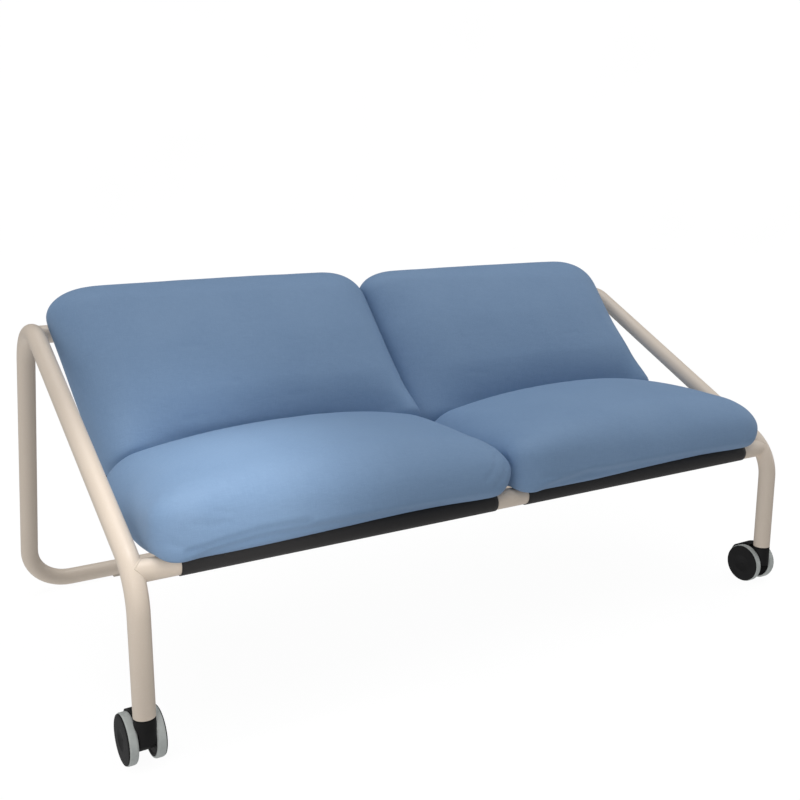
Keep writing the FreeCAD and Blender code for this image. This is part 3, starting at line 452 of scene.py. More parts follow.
def make_studio():
    world = SCENE.world or bpy.data.worlds.new("studio")
    SCENE.world = world
    world.use_nodes = True
    # soft light from the sides, the front and the back, and some thrown up by the floor
    tree = world.node_tree
    back = tree.nodes.get("Background")
    back.inputs[0].default_value = (1.0, 1.0, 1.0, 1.0)
    coord = tree.nodes.new("ShaderNodeTexCoord")
    level = None
    for way, strength in (((-1.0, 0.0, 0.0), 0.555), ((0.0, -1.0, 0.0), 0.25),
                          ((0.0, 1.0, 0.0), 0.12), ((0.0, 0.0, -1.0), 0.54)):
        dot = tree.nodes.new("ShaderNodeVectorMath")
        dot.operation = "DOT_PRODUCT"
        dot.inputs[1].default_value = way
        tree.links.new(coord.outputs["Generated"], dot.inputs[0])
        part = tree.nodes.new("ShaderNodeMath")
        part.operation = "MAXIMUM"
        part.inputs[1].default_value = 0.0
        tree.links.new(dot.outputs["Value"], part.inputs[0])
        total = tree.nodes.new("ShaderNodeMath")
        total.operation = "MULTIPLY_ADD"
        total.inputs[1].default_value = strength
        total.inputs[2].default_value = 0.0
        tree.links.new(part.outputs[0], total.inputs[0])
        if level:
            tree.links.new(level, total.inputs[2])
        level = total.outputs[0]
    tree.links.new(level, back.inputs[1])

    n, size = 48, 12.0
    rings = [(0.0, 0.0, -0.0008)]
    faces = []
    for k in range(1, 9):
        r = size * (k / 8) ** 1.6
        rings += [(r * cos(2 * pi * i / n), r * sin(2 * pi * i / n), -0.0008) for i in range(n)]
    for i in range(n):
        faces.append((0, 1 + i, 1 + (i + 1) % n))
        for k in range(7):
            a, b = 1 + k * n, 1 + (k + 1) * n
            faces.append((a + i, b + i, b + (i + 1) % n, a + (i + 1) % n))
    floor = mesh_object("studio_floor", rings, faces)
    put_on(floor, bright_material("studio_floor", 0.965, 0.05))
    only_seen(floor)

    # backdrop: the upper part of a wide dome that starts just below the floor's rim
    rows = 10
    dome = [(0.0, 0.0, 14.0)]
    faces = []
    for k in range(1, rows + 1):
        a = radians(94.0) * k / rows
        dome += [(14.0 * sin(a) * cos(2 * pi * i / n), 14.0 * sin(a) * sin(2 * pi * i / n), 14.0 * cos(a)) for i in range(n)]
    for i in range(n):
        faces.append((0, 1 + (i + 1) % n, 1 + i))
        for k in range(rows - 1):
            a, b = 1 + k * n, 1 + (k + 1) * n
            faces.append((a + i, a + (i + 1) % n, b + (i + 1) % n, b + i))
    backdrop = mesh_object("studio_backdrop", dome, faces)
    put_on(backdrop, bright_material("studio_backdrop", 1.0, 0.0))
    only_seen(backdrop)

    def lamp(name, kind, power, place, aim=(0.0, 0.0, 0.0), **settings):
        data = bpy.data.lights.new(name, kind)
        data.energy = power
        for key, value in settings.items():
            setattr(data, key, value)
        ob = bpy.data.objects.new(name, data)
        ob.location = place
        ob.rotation_euler = (Vector(aim) - Vector(place)).to_track_quat("-Z", "Y").to_euler()
        ob.visible_camera = False
        SCENE.collection.objects.link(ob)

    soft = {"spot_blend": 1.0, "shadow_soft_size": 0.12}
    near = (-0.53, -0.27, 0.37)
    warm = (1.0, 0.97, 0.93)
    lamp("overhead", "SUN", 1.56, (0.0, 0.0, 3.0), angle=radians(60.0))
    lamp("right_fill", "SUN", 0.68, (0.9, -0.1, 0.4), angle=radians(60.0))
    lamp("key", "AREA", 0.6, (-0.9, -0.8, 0.6), (-0.45, -0.25, 0.35), shape="DISK", size=0.3, color=warm)
    lamp("left_spot", "SPOT", 0.5, (-1.3, -0.3, 0.8), near, spot_size=radians(34.0), color=warm, **soft)
    lamp("high_spot", "SPOT", 20.5, (-0.5, -0.4, 1.4), (-0.51, -0.27, 0.37), spot_size=radians(30.0), color=warm, **soft)
    lamp("front_spot", "SPOT", 11.5, (-0.6, -1.15, 0.5), (-0.47, -0.30, 0.33), spot_size=radians(27.0), color=warm, **soft)
    lamp("low_spot", "SPOT", 2.6, (-1.0, -1.0, 0.3), near, spot_size=radians(34.0), color=warm, **soft)
    SCENE.view_settings.view_transform = "Standard"


make_studio()


# ----------------------------------------------------------------- cushions
def box_lattice(nx, ny, zs):
    """Points (i, j, k) on the skin of a grid of nx by ny by len(zs) - 1 cells, and its quads."""
    nz = len(zs) - 1
    index, keys, faces, sides = {}, [], [], []

    def vid(i, j, k):
        key = (i, j, k)
        if key not in index:
            index[key] = len(keys)
            keys.append(key)
        return index[key]

    for i in range(nx):
        for j in range(ny):
            faces.append((vid(i, j, 0), vid(i, j + 1, 0), vid(i + 1, j + 1, 0), vid(i + 1, j, 0)))
            sides.append(0)
            faces.append((vid(i, j, nz), vid(i + 1, j, nz), vid(i + 1, j + 1, nz), vid(i, j + 1, nz)))
            sides.append(0)
    for k in range(nz):
        for i in range(nx):
            faces.append((vid(i, 0, k), vid(i + 1, 0, k), vid(i + 1, 0, k + 1), vid(i, 0, k + 1)))
            sides.append(1)
            faces.append((vid(i, ny, k), vid(i, ny, k + 1), vid(i + 1, ny, k + 1), vid(i + 1, ny, k)))
            sides.append(1)
        for j in range(ny):
            faces.append((vid(0, j, k), vid(0, j, k + 1), vid(0, j + 1, k + 1), vid(0, j + 1, k)))
            sides.append(2)
            faces.append((vid(nx, j, k), vid(nx, j + 1, k), vid(nx, j + 1, k + 1), vid(nx, j, k + 1)))
            sides.append(2)
    return np.array(keys), faces, sides


def pillow(hx, hy, ends, fore, aft, plan, low, tall_low, power, cell=7.5):
    """A rounded pad about its middle, with a top one unit high.

    ends are the widths over which its left and its right side round off, each at
    the front and at the rear; fore and aft are those widths of the front and the
    rear side, at the left and at the right. plan and power say how square the
    corners are in plan and the edges in section, power at the front left and
    elsewhere; low is the width of the lower edge.
    """
    nx, ny = int(round(2 * hx / cell)), int(round(2 * hy / cell))
    zs = np.concatenate((np.linspace(-1, 0, 6)[:-1], np.linspace(0, 1, 10)))
    keys, faces, sides = box_lattice(nx, ny, zs)
    x = -hx + 2 * hx * keys[:, 0] / nx
    y = -hy + 2 * hy * keys[:, 1] / ny
    z = zs[keys[:, 2]]
    along, across = (y / hy + 1) / 2, (x / hx + 1) / 2
    left, right = (a + (b - a) * smooth(0.0, 1.0, along) for a, b in ends)
    wx = np.where(x < 0, left, right)
    wy = np.where(y < 0, fore[0] + (fore[1] - fore[0]) * smooth(0.0, 1.0, across),
                  aft[0] + (aft[1] - aft[0]) * smooth(0.0, 1.0, across))
    qx, qy = np.clip(x, wx - hx, hx - wx), np.clip(y, wy - hy, hy - wy)
    ax, ay = (x - qx) / wx, (y - qy) / wy
    ex, ey = ax * np.sqrt(1 - ay ** 2 / 2), ay * np.sqrt(1 - ax ** 2 / 2)
    r = np.hypot(ex, ey)
    safe = np.where(r > 1e-9, r, 1.0)
    c, s = ex / safe, ey / safe
    square = np.where(r > 1e-9, (np.abs(c) ** plan + np.abs(s) ** plan + 1e-12) ** (-1.0 / plan), 1.0)
    q = np.where(z >= 0, 1.0, np.minimum(1.0, low / np.maximum(np.hypot(c * wx, s * wy), 1e-6)))
    e = np.clip(q - (1 - r), 0, None) / q
    f = np.abs(z)
    e2, f2 = e * np.sqrt(1 - f ** 2 / 2), f * np.sqrt(1 - e ** 2 / 2)
    d = np.maximum(np.hypot(e2, f2), 1e-9)
    power = power[1] + (power[0] - power[1]) * smooth(0.1, 0.8, 1 - across * 1.6) * smooth(0.3, 0.9, 1 - along)
    k = ((e2 / d) ** power + (f2 / d) ** power) ** (-1.0 / power)
    k = np.where(d > 0.999, k, 1.0)
    e2, f2 = np.minimum(e2 * k, 1.0), np.minimum(f2 * k, 1.0)
    rho = np.where(e > 0, 1 - q * (1 - e2), r) * square
    px, py = qx + wx * rho * c, qy + wy * rho * s
    pz = np.where(z >= 0, f2, -f2 * tall_low)
    return np.stack((px, py, pz), 1), faces, sides, z


def cloth_puff(ob, pinned, pressure, cap, frames=20):
    """Swells the pad with air pressure and gives back its points, none moved by more than cap metres."""
    group = ob.vertex_groups.new(name="pin")
    group.add([int(i) for i in pinned], 1.0, "REPLACE")
    m = ob.modifiers.new("puff", "CLOTH")
    s = m.settings
    s.quality = 6
    s.mass = 0.3
    s.tension_stiffness = s.compression_stiffness = 12.0
    s.shear_stiffness = 6.0
    s.bending_stiffness = 6.0
    s.tension_damping = s.compression_damping = s.shear_damping = 8.0
    s.bending_damping = 2.0
    s.air_damping = 3.0
    s.use_pressure = True
    s.uniform_pressure_force = pressure
    s.effector_weights.gravity = 0.0
    s.vertex_group_mass = "pin"
    m.collision_settings.use_collision = False
    m.collision_settings.use_self_collision = False
    m.point_cache.frame_start, m.point_cache.frame_end = 1, frames
    before = np.array([v.co for v in ob.data.vertices])
    for f in range(1, frames + 1):
        SCENE.frame_set(f)
    shown = ob.evaluated_get(bpy.context.evaluated_depsgraph_get())
    now = np.zeros(len(before) * 3)
    shown.data.vertices.foreach_get("co", now)
    now = now.reshape(-1, 3)
    ob.modifiers.remove(m)
    ob.vertex_groups.remove(group)
    SCENE.frame_set(1)
    step = now - before
    far = np.linalg.norm(step, axis=1)
    print(ob.name, "cloth moved mean %.1f mm, most %.1f mm" % (far.mean() * 1000, far.max() * 1000))
    step *= np.minimum(1.0, cap / np.maximum(far, 1e-9))[:, None]
    return before + even_out(step, ob.data, 160, 0.94)


def even_out(step, me, turns, share):
    """Takes the sharp creases out of the moves, and leaves the soft ones."""
    ends = np.zeros(len(me.edges) * 2, np.int32)
    me.edges.foreach_get("vertices", ends)
    a, b = ends.reshape(-1, 2).T
    n = len(step)
    count = np.bincount(a, minlength=n) + np.bincount(b, minlength=n)
    soft = step.copy()
    for _ in range(turns):
        for k in range(3):
            total = np.bincount(a, soft[b, k], n) + np.bincount(b, soft[a, k], n)
            soft[:, k] = 0.5 * soft[:, k] + 0.5 * total / count
    return share * soft + (1 - share) * step


def to_room(local, at, d, n, x_mid):
    """Pad points (across, along, thick) to millimetres: along d and n from at."""
    return np.stack((local[:, 0] + x_mid,
                     at[0] + local[:, 1] * d[0] + local[:, 2] * n[0],
                     at[1] + local[:, 1] * d[1] + local[:, 2] * n[1]), 1)


def pad_object(name, local, room, faces, sides, z):
    ob = mesh_object(name, metres(room), faces)
    flat = np.zeros((len(faces) * 4, 2), np.float32)
    k = 0
    for f, s in zip(faces, sides):
        for v in f:
            p = local[v] * 0.001
            flat[k] = (p[0], p[1]) if s == 0 else ((p[0], p[2]) if s == 1 else (p[2], p[1]))
            k += 1
    give_uv(ob, flat)
    return ob


def seat_shape(sign):
    """Base form of a seat pad in (across from the middle, along, thick)."""
    hx, hy, waist = 312.0, 171.0, 30.0
    p, faces, sides, z = pillow(hx, hy, ((85.0, 62.0), (85.0, 42.0)), (62.0, 62.0), (66.0, 66.0), 2.5, 26.0, waist, (3.0, 2.0))
    x = p[:, 0]
    u = x / hx
    a = p[:, 1] + hy - 4.0
    top = p[:, 2] > 0
    t = np.clip(a / 268.0, 0, 1)
    fore_tall = 96.0 - 14.0 * u ** 2
    rear_tall = 133.0 - np.where(x < 40.0, 25.0, 40.0) * ((x - 40.0) / 300.0) ** 2
    tall = fore_tall + (rear_tall - fore_tall) * (1 - (1 - t) ** 1.25)
    p[top, 2] = (p[:, 2] * (tall - waist))[top]
    p[:, 1] = a
    p[:, 2] += waist
    # the front lower edge hangs a little over the front rail, lowest at the left end
    low = 1 - smooth(10.0, 60.0, p[:, 2])
    fore = 1 - smooth(60.0, 200.0, a)
    droop = 6.0 * (1 - smooth(10.0, 44.0, a)) + fore * (5.0 * smooth(-0.6, 0.5, -u) + 3.0 * smooth(0.80, 1.0, -u) - 12.0 * smooth(0.85, 1.0, u))
    p[:, 2] -= np.minimum(droop, 15.0) * low
    p[:, 0] -= (3.0 if sign < 0 else 5.0) * smooth(0.75, 1.0, u)
    return p, faces, sides, z


def back_shape(sign):
    """Base form of a back pad in (across from the middle, along, thick)."""
    hx, hy, waist = 313.0, 188.0, 42.0
    p, faces, sides, z = pillow(hx, hy, ((52.0, 106.0), (52.0, 92.0)) if sign < 0 else ((104.0, 92.0), (52.0, 106.0)),
                                (46.0, 46.0), (66.0 if sign < 0 else 56.0, 74.0 if sign < 0 else 84.0), 2.5, 44.0, waist, (2.0, 2.0))
    u, v = p[:, 0] / hx, p[:, 1] / hy
    a = p[:, 1] + hy - 5.0
    top = p[:, 2] > 0
    # fullest a little above the middle, and drawn in towards the foot
    belly = 1 - np.where(a < 212.0, (np.abs(212.0 - a) / (300.0 + 70.0 * u ** 2 + 230.0 * np.clip(u, 0, 1) ** 3)) ** 1.6, (np.abs(a - 212.0) / 306.0) ** 1.7)
    tall = 78.0 * belly * (1 - 0.08 * u ** 2)
    tall -= 17.0 * np.clip((118.0 - a) / 78.0, 0, 1) ** 1.5 * (1 - smooth(0.65, 1.0, u)) * (1 - smooth(0.5, 0.95, -u))
    # squeezed out at the ends of the foot
    flare = smooth(0.72, 1.0, u) * (1 - smooth(0.0, 105.0, a))
    tall += 17.0 * flare + (13.0 if sign < 0 else 6.0) * smooth(0.55, 1.0, -u) * (1 - smooth(0.0, 120.0, a))
    if sign > 0:
        tall -= 12.0 * smooth(0.6, 1.0, -u) * (1 - smooth(230.0, 340.0, a))
    p[top, 2] = (p[:, 2] * tall)[top]
    p[:, 1] = a
    p[:, 2] += waist
    # the top edge falls a little to the left; filled out between the corners
    p[:, 1] += 5.0 * u * np.clip(v, 0, 1) + 3.5 * np.clip(v, 0, 1) * np.clip(1 - u ** 2, 0, 1)
    p[:, 0] += 6.0 * u * np.clip(1 - v ** 2, 0, 1)
    if sign < 0:
        # the free side narrows towards the foot
        p[:, 0] += (1 - u) / 2 * (0.112 * np.clip(325.0 - a, 0, None) + 6.0 * np.clip(1 - v ** 2, 0, 1) - 3.0)
        p[:, 0] += (1 + u) / 2 * (8.0 * (1 - smooth(40.0, 240.0, a)) - 6.0 * smooth(40.0, 200.0, a)) + 12.0 * flare
    else:
        p[:, 0] -= (1 + u) / 2 * (9.0 + 9.0 * np.exp(-((a - 205.0) / 75.0) ** 2) - 8.0 * (1 - smooth(40.0, 200.0, a)))
        p[:, 0] += 9.0 * flare
        # rounds off beside its neighbour
        p[:, 0] += (1 - u) / 2 * (9.0 * np.clip(1 - v ** 2, 0, 1) + 13.0 * (1 - smooth(40.0, 260.0, a)))
    return p, faces, sides, z


# the plane on which seat and back press on each other
FOOT = np.array(KNEE)
LEAN_TO = np.array((308.0, 396.0)) - FOOT
LEAN_TO /= np.linalg.norm(LEAN_TO)
FORWARD = np.array((-LEAN_TO[1], LEAN_TO[0]))      # points to the front


def keep_clear(points, sign, kind):
    """Neighbouring pads press flat on each other and on the slings instead of passing through."""
    p = points.copy() * 1000.0
    p[:, 1] += OY
    middle = 0.0
    if kind == "back":
        up = (p[:, 1:] - BACK_AT) @ D2
        middle = 13.0 * (1 - smooth(40.0, 260.0, up)) + 10.0 * (1 - smooth(0.0, 105.0, up))
    p[:, 0] = sign * np.clip(sign * (p[:, 0] - middle), 0.8, 640.0) + middle
    p[:, 0] = np.clip(p[:, 0], -626.0, 626.0 if kind == "seat" else 637.0)
    yz = p[:, 1:] - FOOT
    ahead = yz @ FORWARD
    if kind == "seat":
        p[:, 1:] += np.maximum(0.0, 0.5 - ahead)[:, None] * FORWARD
    at, d, n = (SEAT_AT, D1, N1) if kind == "seat" else (BACK_AT, D2, N2)
    if kind == "seat":
        along, rest = (p[:, 1:] - at) @ d, (p[:, 1:] - at) @ n
        on_web = along > RAIL_AT[0]
        rest = np.where(on_web, np.maximum(rest, 0.2), rest)
        q = np.stack((along, rest), 1) - RAIL_AT
        far = np.linalg.norm(q, axis=1)
        q = np.where((far < SLEEVE_R)[:, None], q * (SLEEVE_R / np.maximum(far, 1e-6))[:, None], q) + RAIL_AT
        p[:, 1:] = at + q[:, :1] * d + q[:, 1:] * n
    else:
        rest = (p[:, 1:] - at) @ n
        p[:, 1:] += np.maximum(0.0, 0.2 - rest)[:, None] * n
    p[:, 1] -= OY
    return p * 0.001


PADS = {"seat": (seat_shape, SEAT_AT, D1, N1, 308.0, 4.0),
        "back": (back_shape, BACK_AT, D2, N2, 310.0, 1.5)}


def points_of(me):
    co = np.zeros(len(me.vertices) * 3)
    me.vertices.foreach_get("co", co)
    return co.reshape(-1, 3)


def refine(ob):
    """One round of subdivision, made real."""
    modify(ob, "SUBSURF", levels=1, render_levels=1)
    shown = ob.evaluated_get(bpy.context.evaluated_depsgraph_get())
    me = bpy.data.meshes.new_from_object(shown)
    old = ob.data
    ob.modifiers.clear()
    ob.data = me
    me.name = ob.name
    bpy.data.meshes.remove(old)


def press_on(points, other, gap=0.0006):
    """Where a pad would pass into its neighbour, its cloth lies on the neighbour's cloth instead."""
    me = other.data
    skin = points_of(me)
    tree = BVHTree.FromPolygons([tuple(v) for v in skin], [tuple(f.vertices) for f in me.polygons])
    near = np.all((points > skin.min(0) - gap) & (points < skin.max(0) + gap), axis=1)
    out = points.copy()
    for i in np.nonzero(near)[0]:
        p = Vector(points[i])
        at, normal, _, _ = tree.find_nearest(p)
        if (p - at).dot(normal) < gap:
            out[i] = at + normal * gap
    return out


# soft folds: on the front of a pad (across, thick) or on its face (across, along),
# with their half width and depth
FOLDS = {
    ("seat", -1): (
        ("front", ((-270, 6), (-256, 8), (-227, 13), (-198, 16), (-166, 19), (-129, 19), (-89, 18)), 4.5, 4.2),
        ("front", ((-290, 20), (-268, 9), (-240, 4)), 5.0, 1.2),
        ("front", ((-262, 44), (-236, 38), (-214, 40)), 4.5, 0.7),
        ("front", ((-232, 58), (-206, 52)), 4.5, 0.6),
        ("front", ((228, 30), (250, 46), (262, 64)), 5.0, 0.9),
        ("front", ((246, 16), (268, 30), (280, 46)), 5.0, 0.9)),
    ("seat", 1): (
        ("front", ((-262, 18), (-232, 14), (-196, 13), (-150, 12)), 5.0, 1.2),
        ("front", ((238, 18), (262, 34), (274, 52)), 5.0, 0.9)),
    ("back", -1): (
        ("face", ((-126, 194), (-86, 193)), 4.0, 0.7),
        ("face", ((-72, 123), (-38, 121)), 4.0, 0.7),
        ("face", ((50, 86), (84, 88)), 4.0, 0.7),
        ("face", ((-144, 70), (-106, 72)), 4.0, 0.7)),
    ("back", 1): (
        ("face", ((-168, 92), (-128, 88)), 4.0, 0.7),
        ("face", ((96, 150), (132, 152)), 4.0, 0.6)),
}


def far_from(points, path):
    """Distance of points in a plane from a line of straight pieces."""
    best = np.full(len(points), 1e9)
    for a, b in zip(path[:-1], path[1:]):
        a, b = np.array(a, float), np.array(b, float)
        t = np.clip((points - a) @ (b - a) / ((b - a) @ (b - a)), 0, 1)
        best = np.minimum(best, np.linalg.norm(points - a - t[:, None] * (b - a), axis=1))
    return best


def fold(points, normals, sign, kind):
    """Draws the cloth in at its folds, and tucks it back under the long one."""
    _, at, d, n, mid, _ = PADS[kind]
    p = points * 1000.0
    yz = p[:, 1:] + (OY, 0.0) - at
    across, along, thick = p[:, 0] - sign * mid, yz @ d, yz @ n
    deep = np.zeros(len(p))
    fore = 1 - smooth(30.0, 75.0, along)
    upper = smooth(20.0, 60.0, thick)
    for where, path, width, depth in FOLDS[kind, sign]:
        flat = np.stack((across, thick if where == "front" else along), 1)
        deep += depth * np.exp(-(far_from(flat, path) / width) ** 2) * (fore if where == "front" else upper)
    tuck = np.zeros(len(p))
    if kind == "seat":
        line = np.interp(across, (-277, -227, -166, -89, 60, 220), (4, 13, 19, 18, 15, 11))
        reach = smooth(-285.0, -240.0, across) * (1 - smooth(120.0, 285.0, across))
        tuck = 13.0 * reach * fore * (1 - smooth(-15.0, 1.0, thick - line))
    # the filling is never quite even
    deep += [0.8 * noise.noise(Vector(q) / 120.0 + Vector((3.1, sign, 0.0)))
             + 0.22 * noise.noise(Vector(q) / 34.0 + Vector((0.0, 7.3, sign))) for q in p]
    back = np.array((0.0, d[0], d[1]))
    return points - normals * deep[:, None] * 0.001 + tuck[:, None] * back * 0.001


def make_pad(tag, sign, kind, beside=None):
    shape, at, d, n, mid, pressure = PADS[kind]
    p, faces, sides, z = shape(sign)
    room = to_room(p, at, d, n, sign * mid)
    ob = pad_object("%s_%s_cushion" % (tag, kind), p, room, faces, sides, z)
    co = points_of(ob.data)
    co = cloth_puff(ob, np.nonzero(z <= -0.999)[0], pressure, 0.022)
    co = keep_clear(co, sign, kind)
    ob.data.vertices.foreach_set("co", co.ravel())
    ob.data.update()
    refine(ob)
    out = np.zeros(len(ob.data.vertices) * 3)
    ob.data.vertices.foreach_get("normal", out)
    co = points_of(ob.data)
    co = keep_clear(fold(co, out.reshape(-1, 3), sign, kind), sign, kind)
    if beside:
        co = press_on(co, beside)
    ob.data.vertices.foreach_set("co", co.ravel())
    ob.data.update()
    put_on(ob, FABRIC)
    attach(ob, "frame")
    return ob


def make_foam(ob, tag, kind):
    """The foam inside a cover: the same form, a wadding's thickness in from the cloth."""
    me = ob.data.copy()
    no = np.zeros(len(me.vertices) * 3)
    me.vertices.foreach_get("normal", no)
    inward = even_out(-no.reshape(-1, 3), me, 12, 1.0)
    skin = points_of(me)
    inside = even_out(skin + inward * 0.009, me, 6, 1.0)
    tree = BVHTree.FromPolygons([tuple(v) for v in skin], [tuple(f.vertices) for f in me.polygons])
    for i, p in enumerate(inside):
        at, normal, _, far = tree.find_nearest(Vector(p))
        if far < 0.006 or (Vector(p) - at).dot(normal) > 0:
            inside[i] = at - normal * 0.007
    me.vertices.foreach_set("co", inside.ravel())
    me.update()
    core = bpy.data.objects.new("%s_%s_foam" % (tag, kind), me)
    SCENE.collection.objects.link(core)
    me.name = core.name
    me.materials.clear()
    put_on(core, FOAM)
    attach(core, "frame")
    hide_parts("%s_%s_core" % (tag, kind))


for tag, sign in (("left", -1), ("right", 1)):
    pad = None
    for kind in ("seat", "back"):
        pad = make_pad(tag, sign, kind, pad)
        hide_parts("%s_%s_cover" % (tag, kind))
        make_foam(pad, tag, kind)


# ------------------------------------------------------------------- slings
WEB_R = 16.85
CLOTH = 1.2


def arc_length(path):
    return np.concatenate(((0.0,), np.cumsum(np.linalg.norm(np.diff(path, axis=0), axis=1))))


def bezier(a, b, c, d, n):
    t = np.linspace(0, 1, n)[:, None]
    return (1 - t) ** 3 * a + 3 * (1 - t) ** 2 * t * b + 3 * (1 - t) * t ** 2 * c + t ** 3 * d


def loop_path(flap):
    """From the web round the rail and back under the web, in (along the web, off the web)."""
    turn = radians(236.0)
    a = np.linspace(0.0, turn, 40)
    ring = np.stack((-WEB_R * np.sin(a), -WEB_R + WEB_R * np.cos(a)), 1)
    away = np.array((-cos(turn), -sin(turn)))
    end = np.array((21.0, -2.9))
    lead = bezier(ring[-1], ring[-1] + 9.0 * away, end - np.array((6.0, 0.0)), end, 14)[1:]
    tail = np.stack((np.linspace(21.0, flap, 8)[1:], np.full(7, -2.9)), 1)
    return np.concatenate((ring, lead, tail))


def sling_path():
    p1 = np.array(FRONT_RAIL) + WEB_R * N1
    p2 = np.array(TOP_RAIL) + WEB_R * N2
    knee = np.array(KNEE)
    turn = LEAN - SLOPE
    cut = 60.0 * tan(turn / 2)
    front = loop_path(52.0)
    front = p1 + front[:, :1] * D1 + front[:, 1:] * N1
    top = loop_path(52.0)
    top = p2 - top[:, :1] * D2 + top[:, 1:] * N2
    a, b = knee - cut * D1, knee + cut * D2
    centre = a + 60.0 * N1
    arcs = np.linspace(0, turn, 14)
    bend = np.stack([centre + 60.0 * (sin(t) * D1 - cos(t) * N1) for t in arcs])
    seat = np.linspace(0, 1, 44)[:, None] * (bend[0] - p1) + p1
    back = np.linspace(0, 1, 48)[:, None] * (p2 - bend[-1]) + bend[-1]
    path = np.concatenate((front[::-1], seat[1:], bend[1:], back[1:], top[1:]))
    return path, len(front) - 1, len(front) - 1 + 43 + 13 + 47


def make_sling(tag, sign):
    path, first, last = sling_path()
    run = arc_length(path)
    step = np.gradient(path, axis=0)
    step /= np.linalg.norm(step, axis=1)[:, None]
    off = np.stack((-step[:, 1], step[:, 0]), 1)
    nx = 68
    xs = np.linspace(33.0, 580.0, nx + 1)
    web = smooth(run[first] + 15, run[first] + 70, run) * (1 - smooth(run[last] - 70, run[last] - 15, run))
    pts, uvs = [], []
    for i, x in enumerate(xs):
        t = (x - 33.0) / 547.0
        give = -1.3 * web * (4 * t * (1 - t)) ** 0.7
        ripple = 0.35 * web * np.sin(t * 19.0 + 1.3 * np.sin(run / 95.0)) * (4 * t * (1 - t))
        q = path + off * (give + ripple)[:, None]
        pts.append(np.stack((np.full(len(q), sign * x), q[:, 0], q[:, 1]), 1))
        uvs.append(np.stack((np.full(len(q), x * 0.001), run * 0.001), 1))
    m = len(path)
    pts, uvs = np.concatenate(pts), np.concatenate(uvs)
    faces = []
    for i in range(nx):
        for j in range(m - 1):
            q = (i * m + j, (i + 1) * m + j, (i + 1) * m + j + 1, i * m + j + 1)
            faces.append(q if sign > 0 else q[::-1])
    ob = mesh_object(tag + "_sling_cloth", metres(pts), faces)
    give_uv(ob, np.array([uvs[v] for f in faces for v in f]))
    modify(ob, "SOLIDIFY", thickness=CLOTH * 0.001, offset=0.0)
    put_on(ob, SLING)
    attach(ob, "frame")
    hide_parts(tag + "_sling")
    return ob, path, run, off, first, last


def stitches(name, rows, material, long=2.6, gap=1.1, radius=0.32):
    """Rows of short raised stitches; each row is (points in mm, outward normals)."""
    pts, faces = [], []
    for line, out in rows:
        run = arc_length(line)
        n = int((run[-1] - 1.0) / (long + gap))
        for k in range(n):
            s = 0.5 + k * (long + gap)
            mid = []
            for t in (0.0, 0.18, 0.5, 0.82, 1.0):
                q = s + t * long
                c = np.array([np.interp(q, run, line[:, a]) for a in range(3)])
                o = np.array([np.interp(q, run, out[:, a]) for a in range(3)])
                mid.append((c, o / np.linalg.norm(o), t))
            along = mid[-1][0] - mid[0][0]
            along /= np.linalg.norm(along)
            base = len(pts)
            for c, o, t in mid:
                lift = radius * (0.75 if 0.1 < t < 0.9 else -0.35)
                wide = radius * (1.0 if 0.1 < t < 0.9 else 0.55)
                across = np.cross(along, o)
                for a in range(6):
                    w = 2 * pi * a / 6
                    pts.append(c + o * (lift + wide * sin(w)) + across * wide * cos(w))
            for r in range(4):
                for a in range(6):
                    b = (a + 1) % 6
                    faces.append((base + r * 6 + a, base + r * 6 + b, base + (r + 1) * 6 + b, base + (r + 1) * 6 + a))
            faces.append(tuple(base + a for a in range(5, -1, -1)))
            faces.append(tuple(base + 24 + a for a in range(6)))
    ob = mesh_object(name, metres(np.array(pts)), faces)
    put_on(ob, material)
    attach(ob, "frame")
    return ob


def sling_rows(sign, path, run, off, first, last):
    """Stitch rows: along both edges of the web and across the closure flaps, on the hidden face."""
    rows = []
    inside = (run > run[first] + 30) & (run < run[last] - 30)
    for x in (41.0, 572.0):
        line = np.stack((np.full(inside.sum(), sign * x), path[inside, 0], path[inside, 1]), 1)
        out = np.stack((np.zeros(inside.sum()), -off[inside, 0], -off[inside, 1]), 1)
        rows.append((line + out * (CLOTH / 2), out))
    for s in (run[first] + 25.0, run[first] + 44.0, run[last] - 25.0, run[last] - 44.0):
        j = int(np.argmin(np.abs(run - s)))
        xs = np.linspace(38.0, 575.0, 60)
        n = -off[j]
        drop = 2.9 + CLOTH / 2
        line = np.stack((sign * xs, np.full(60, path[j, 0] + n[0] * drop), np.full(60, path[j, 1] + n[1] * drop)), 1)
        out = np.tile(np.array((0.0, n[0], n[1])), (60, 1))
        rows.append((line, out))
    return rows


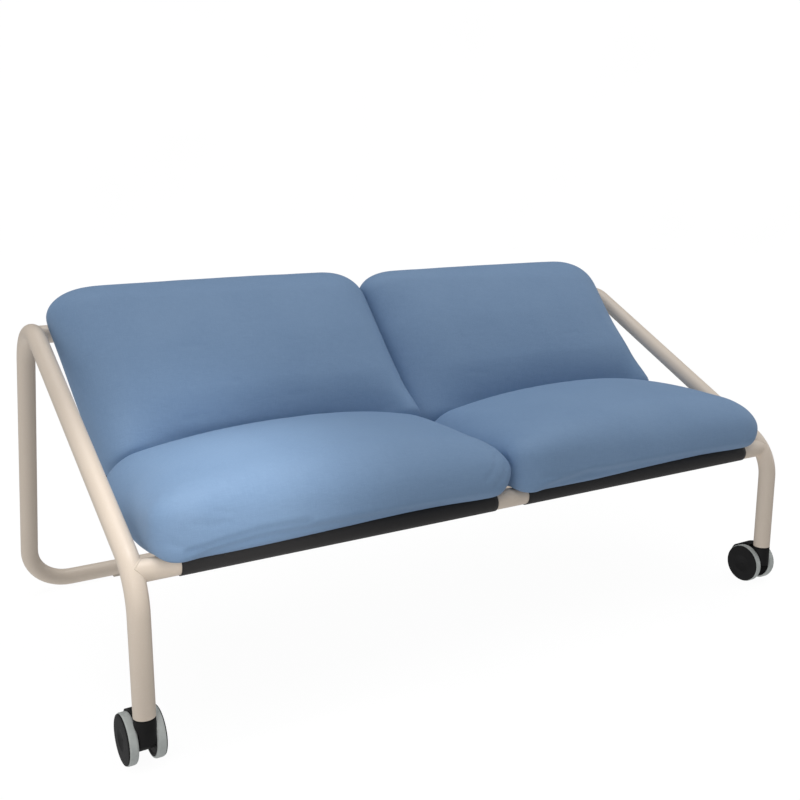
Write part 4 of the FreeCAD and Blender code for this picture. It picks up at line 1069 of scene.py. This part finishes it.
for tag, sign in (("left", -1), ("right", 1)):
    cloth, *rest = make_sling(tag, sign)
    sewn = stitches(tag + "_sling_stitching", sling_rows(sign, *rest), BLACK_THREAD)


# --------------------------------------------------------------- weld beads
def weld_bead(name, rail, bend, side):
    """Fillet bead where a rail meets the outside of a bend."""
    n, ring = 96, 8
    phi = np.linspace(0, 2 * pi, n, endpoint=False)
    y = rail[0] + TUBE_R * np.cos(phi)
    z = rail[1] + TUBE_R * np.sin(phi)
    rho = np.hypot(y - bend[0], z - bend[1]) - bend[2]
    reach = np.sqrt(np.maximum(TUBE_R ** 2 - rho ** 2, 0.0))
    line = np.stack((side * (TRACK - reach), y, z), 1)
    tang = np.roll(line, -1, 0) - np.roll(line, 1, 0)
    tang /= np.linalg.norm(tang, axis=1)[:, None]
    o1 = np.stack((np.zeros(n), np.cos(phi), np.sin(phi)), 1)
    toward = np.stack((y - bend[0], z - bend[1]), 1)
    toward /= np.linalg.norm(toward, axis=1)[:, None]
    o2 = np.stack((-side * reach, rho * toward[:, 0], rho * toward[:, 1]), 1) / TUBE_R
    out = o1 + o2
    out -= (out * tang).sum(1)[:, None] * tang
    out /= np.linalg.norm(out, axis=1)[:, None]
    across = np.cross(tang, out)
    pts = []
    for i in range(n):
        r = 1.0 + 0.05 * sin(phi[i] * 38.0) + 0.04 * sin(phi[i] * 17.0 + 1.0)
        for a in range(ring):
            w = 2 * pi * a / ring
            pts.append(line[i] + out[i] * (r * sin(w) * 0.8 + 0.1) + across[i] * r * cos(w) * 1.25)
    faces = []
    for i in range(n):
        j = (i + 1) % n
        for a in range(ring):
            b = (a + 1) % ring
            faces.append((i * ring + a, i * ring + b, j * ring + b, j * ring + a))
    ob = mesh_object(name, metres(np.array(pts)), faces)
    put_on(ob, COAT)
    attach(ob, "frame")


for tag, sign in (("left", -1), ("right", 1)):
    weld_bead(tag + "_front_weld", FRONT_RAIL, FRONT_BEND, sign)
    weld_bead(tag + "_top_weld", TOP_RAIL, TOP_BEND, sign)
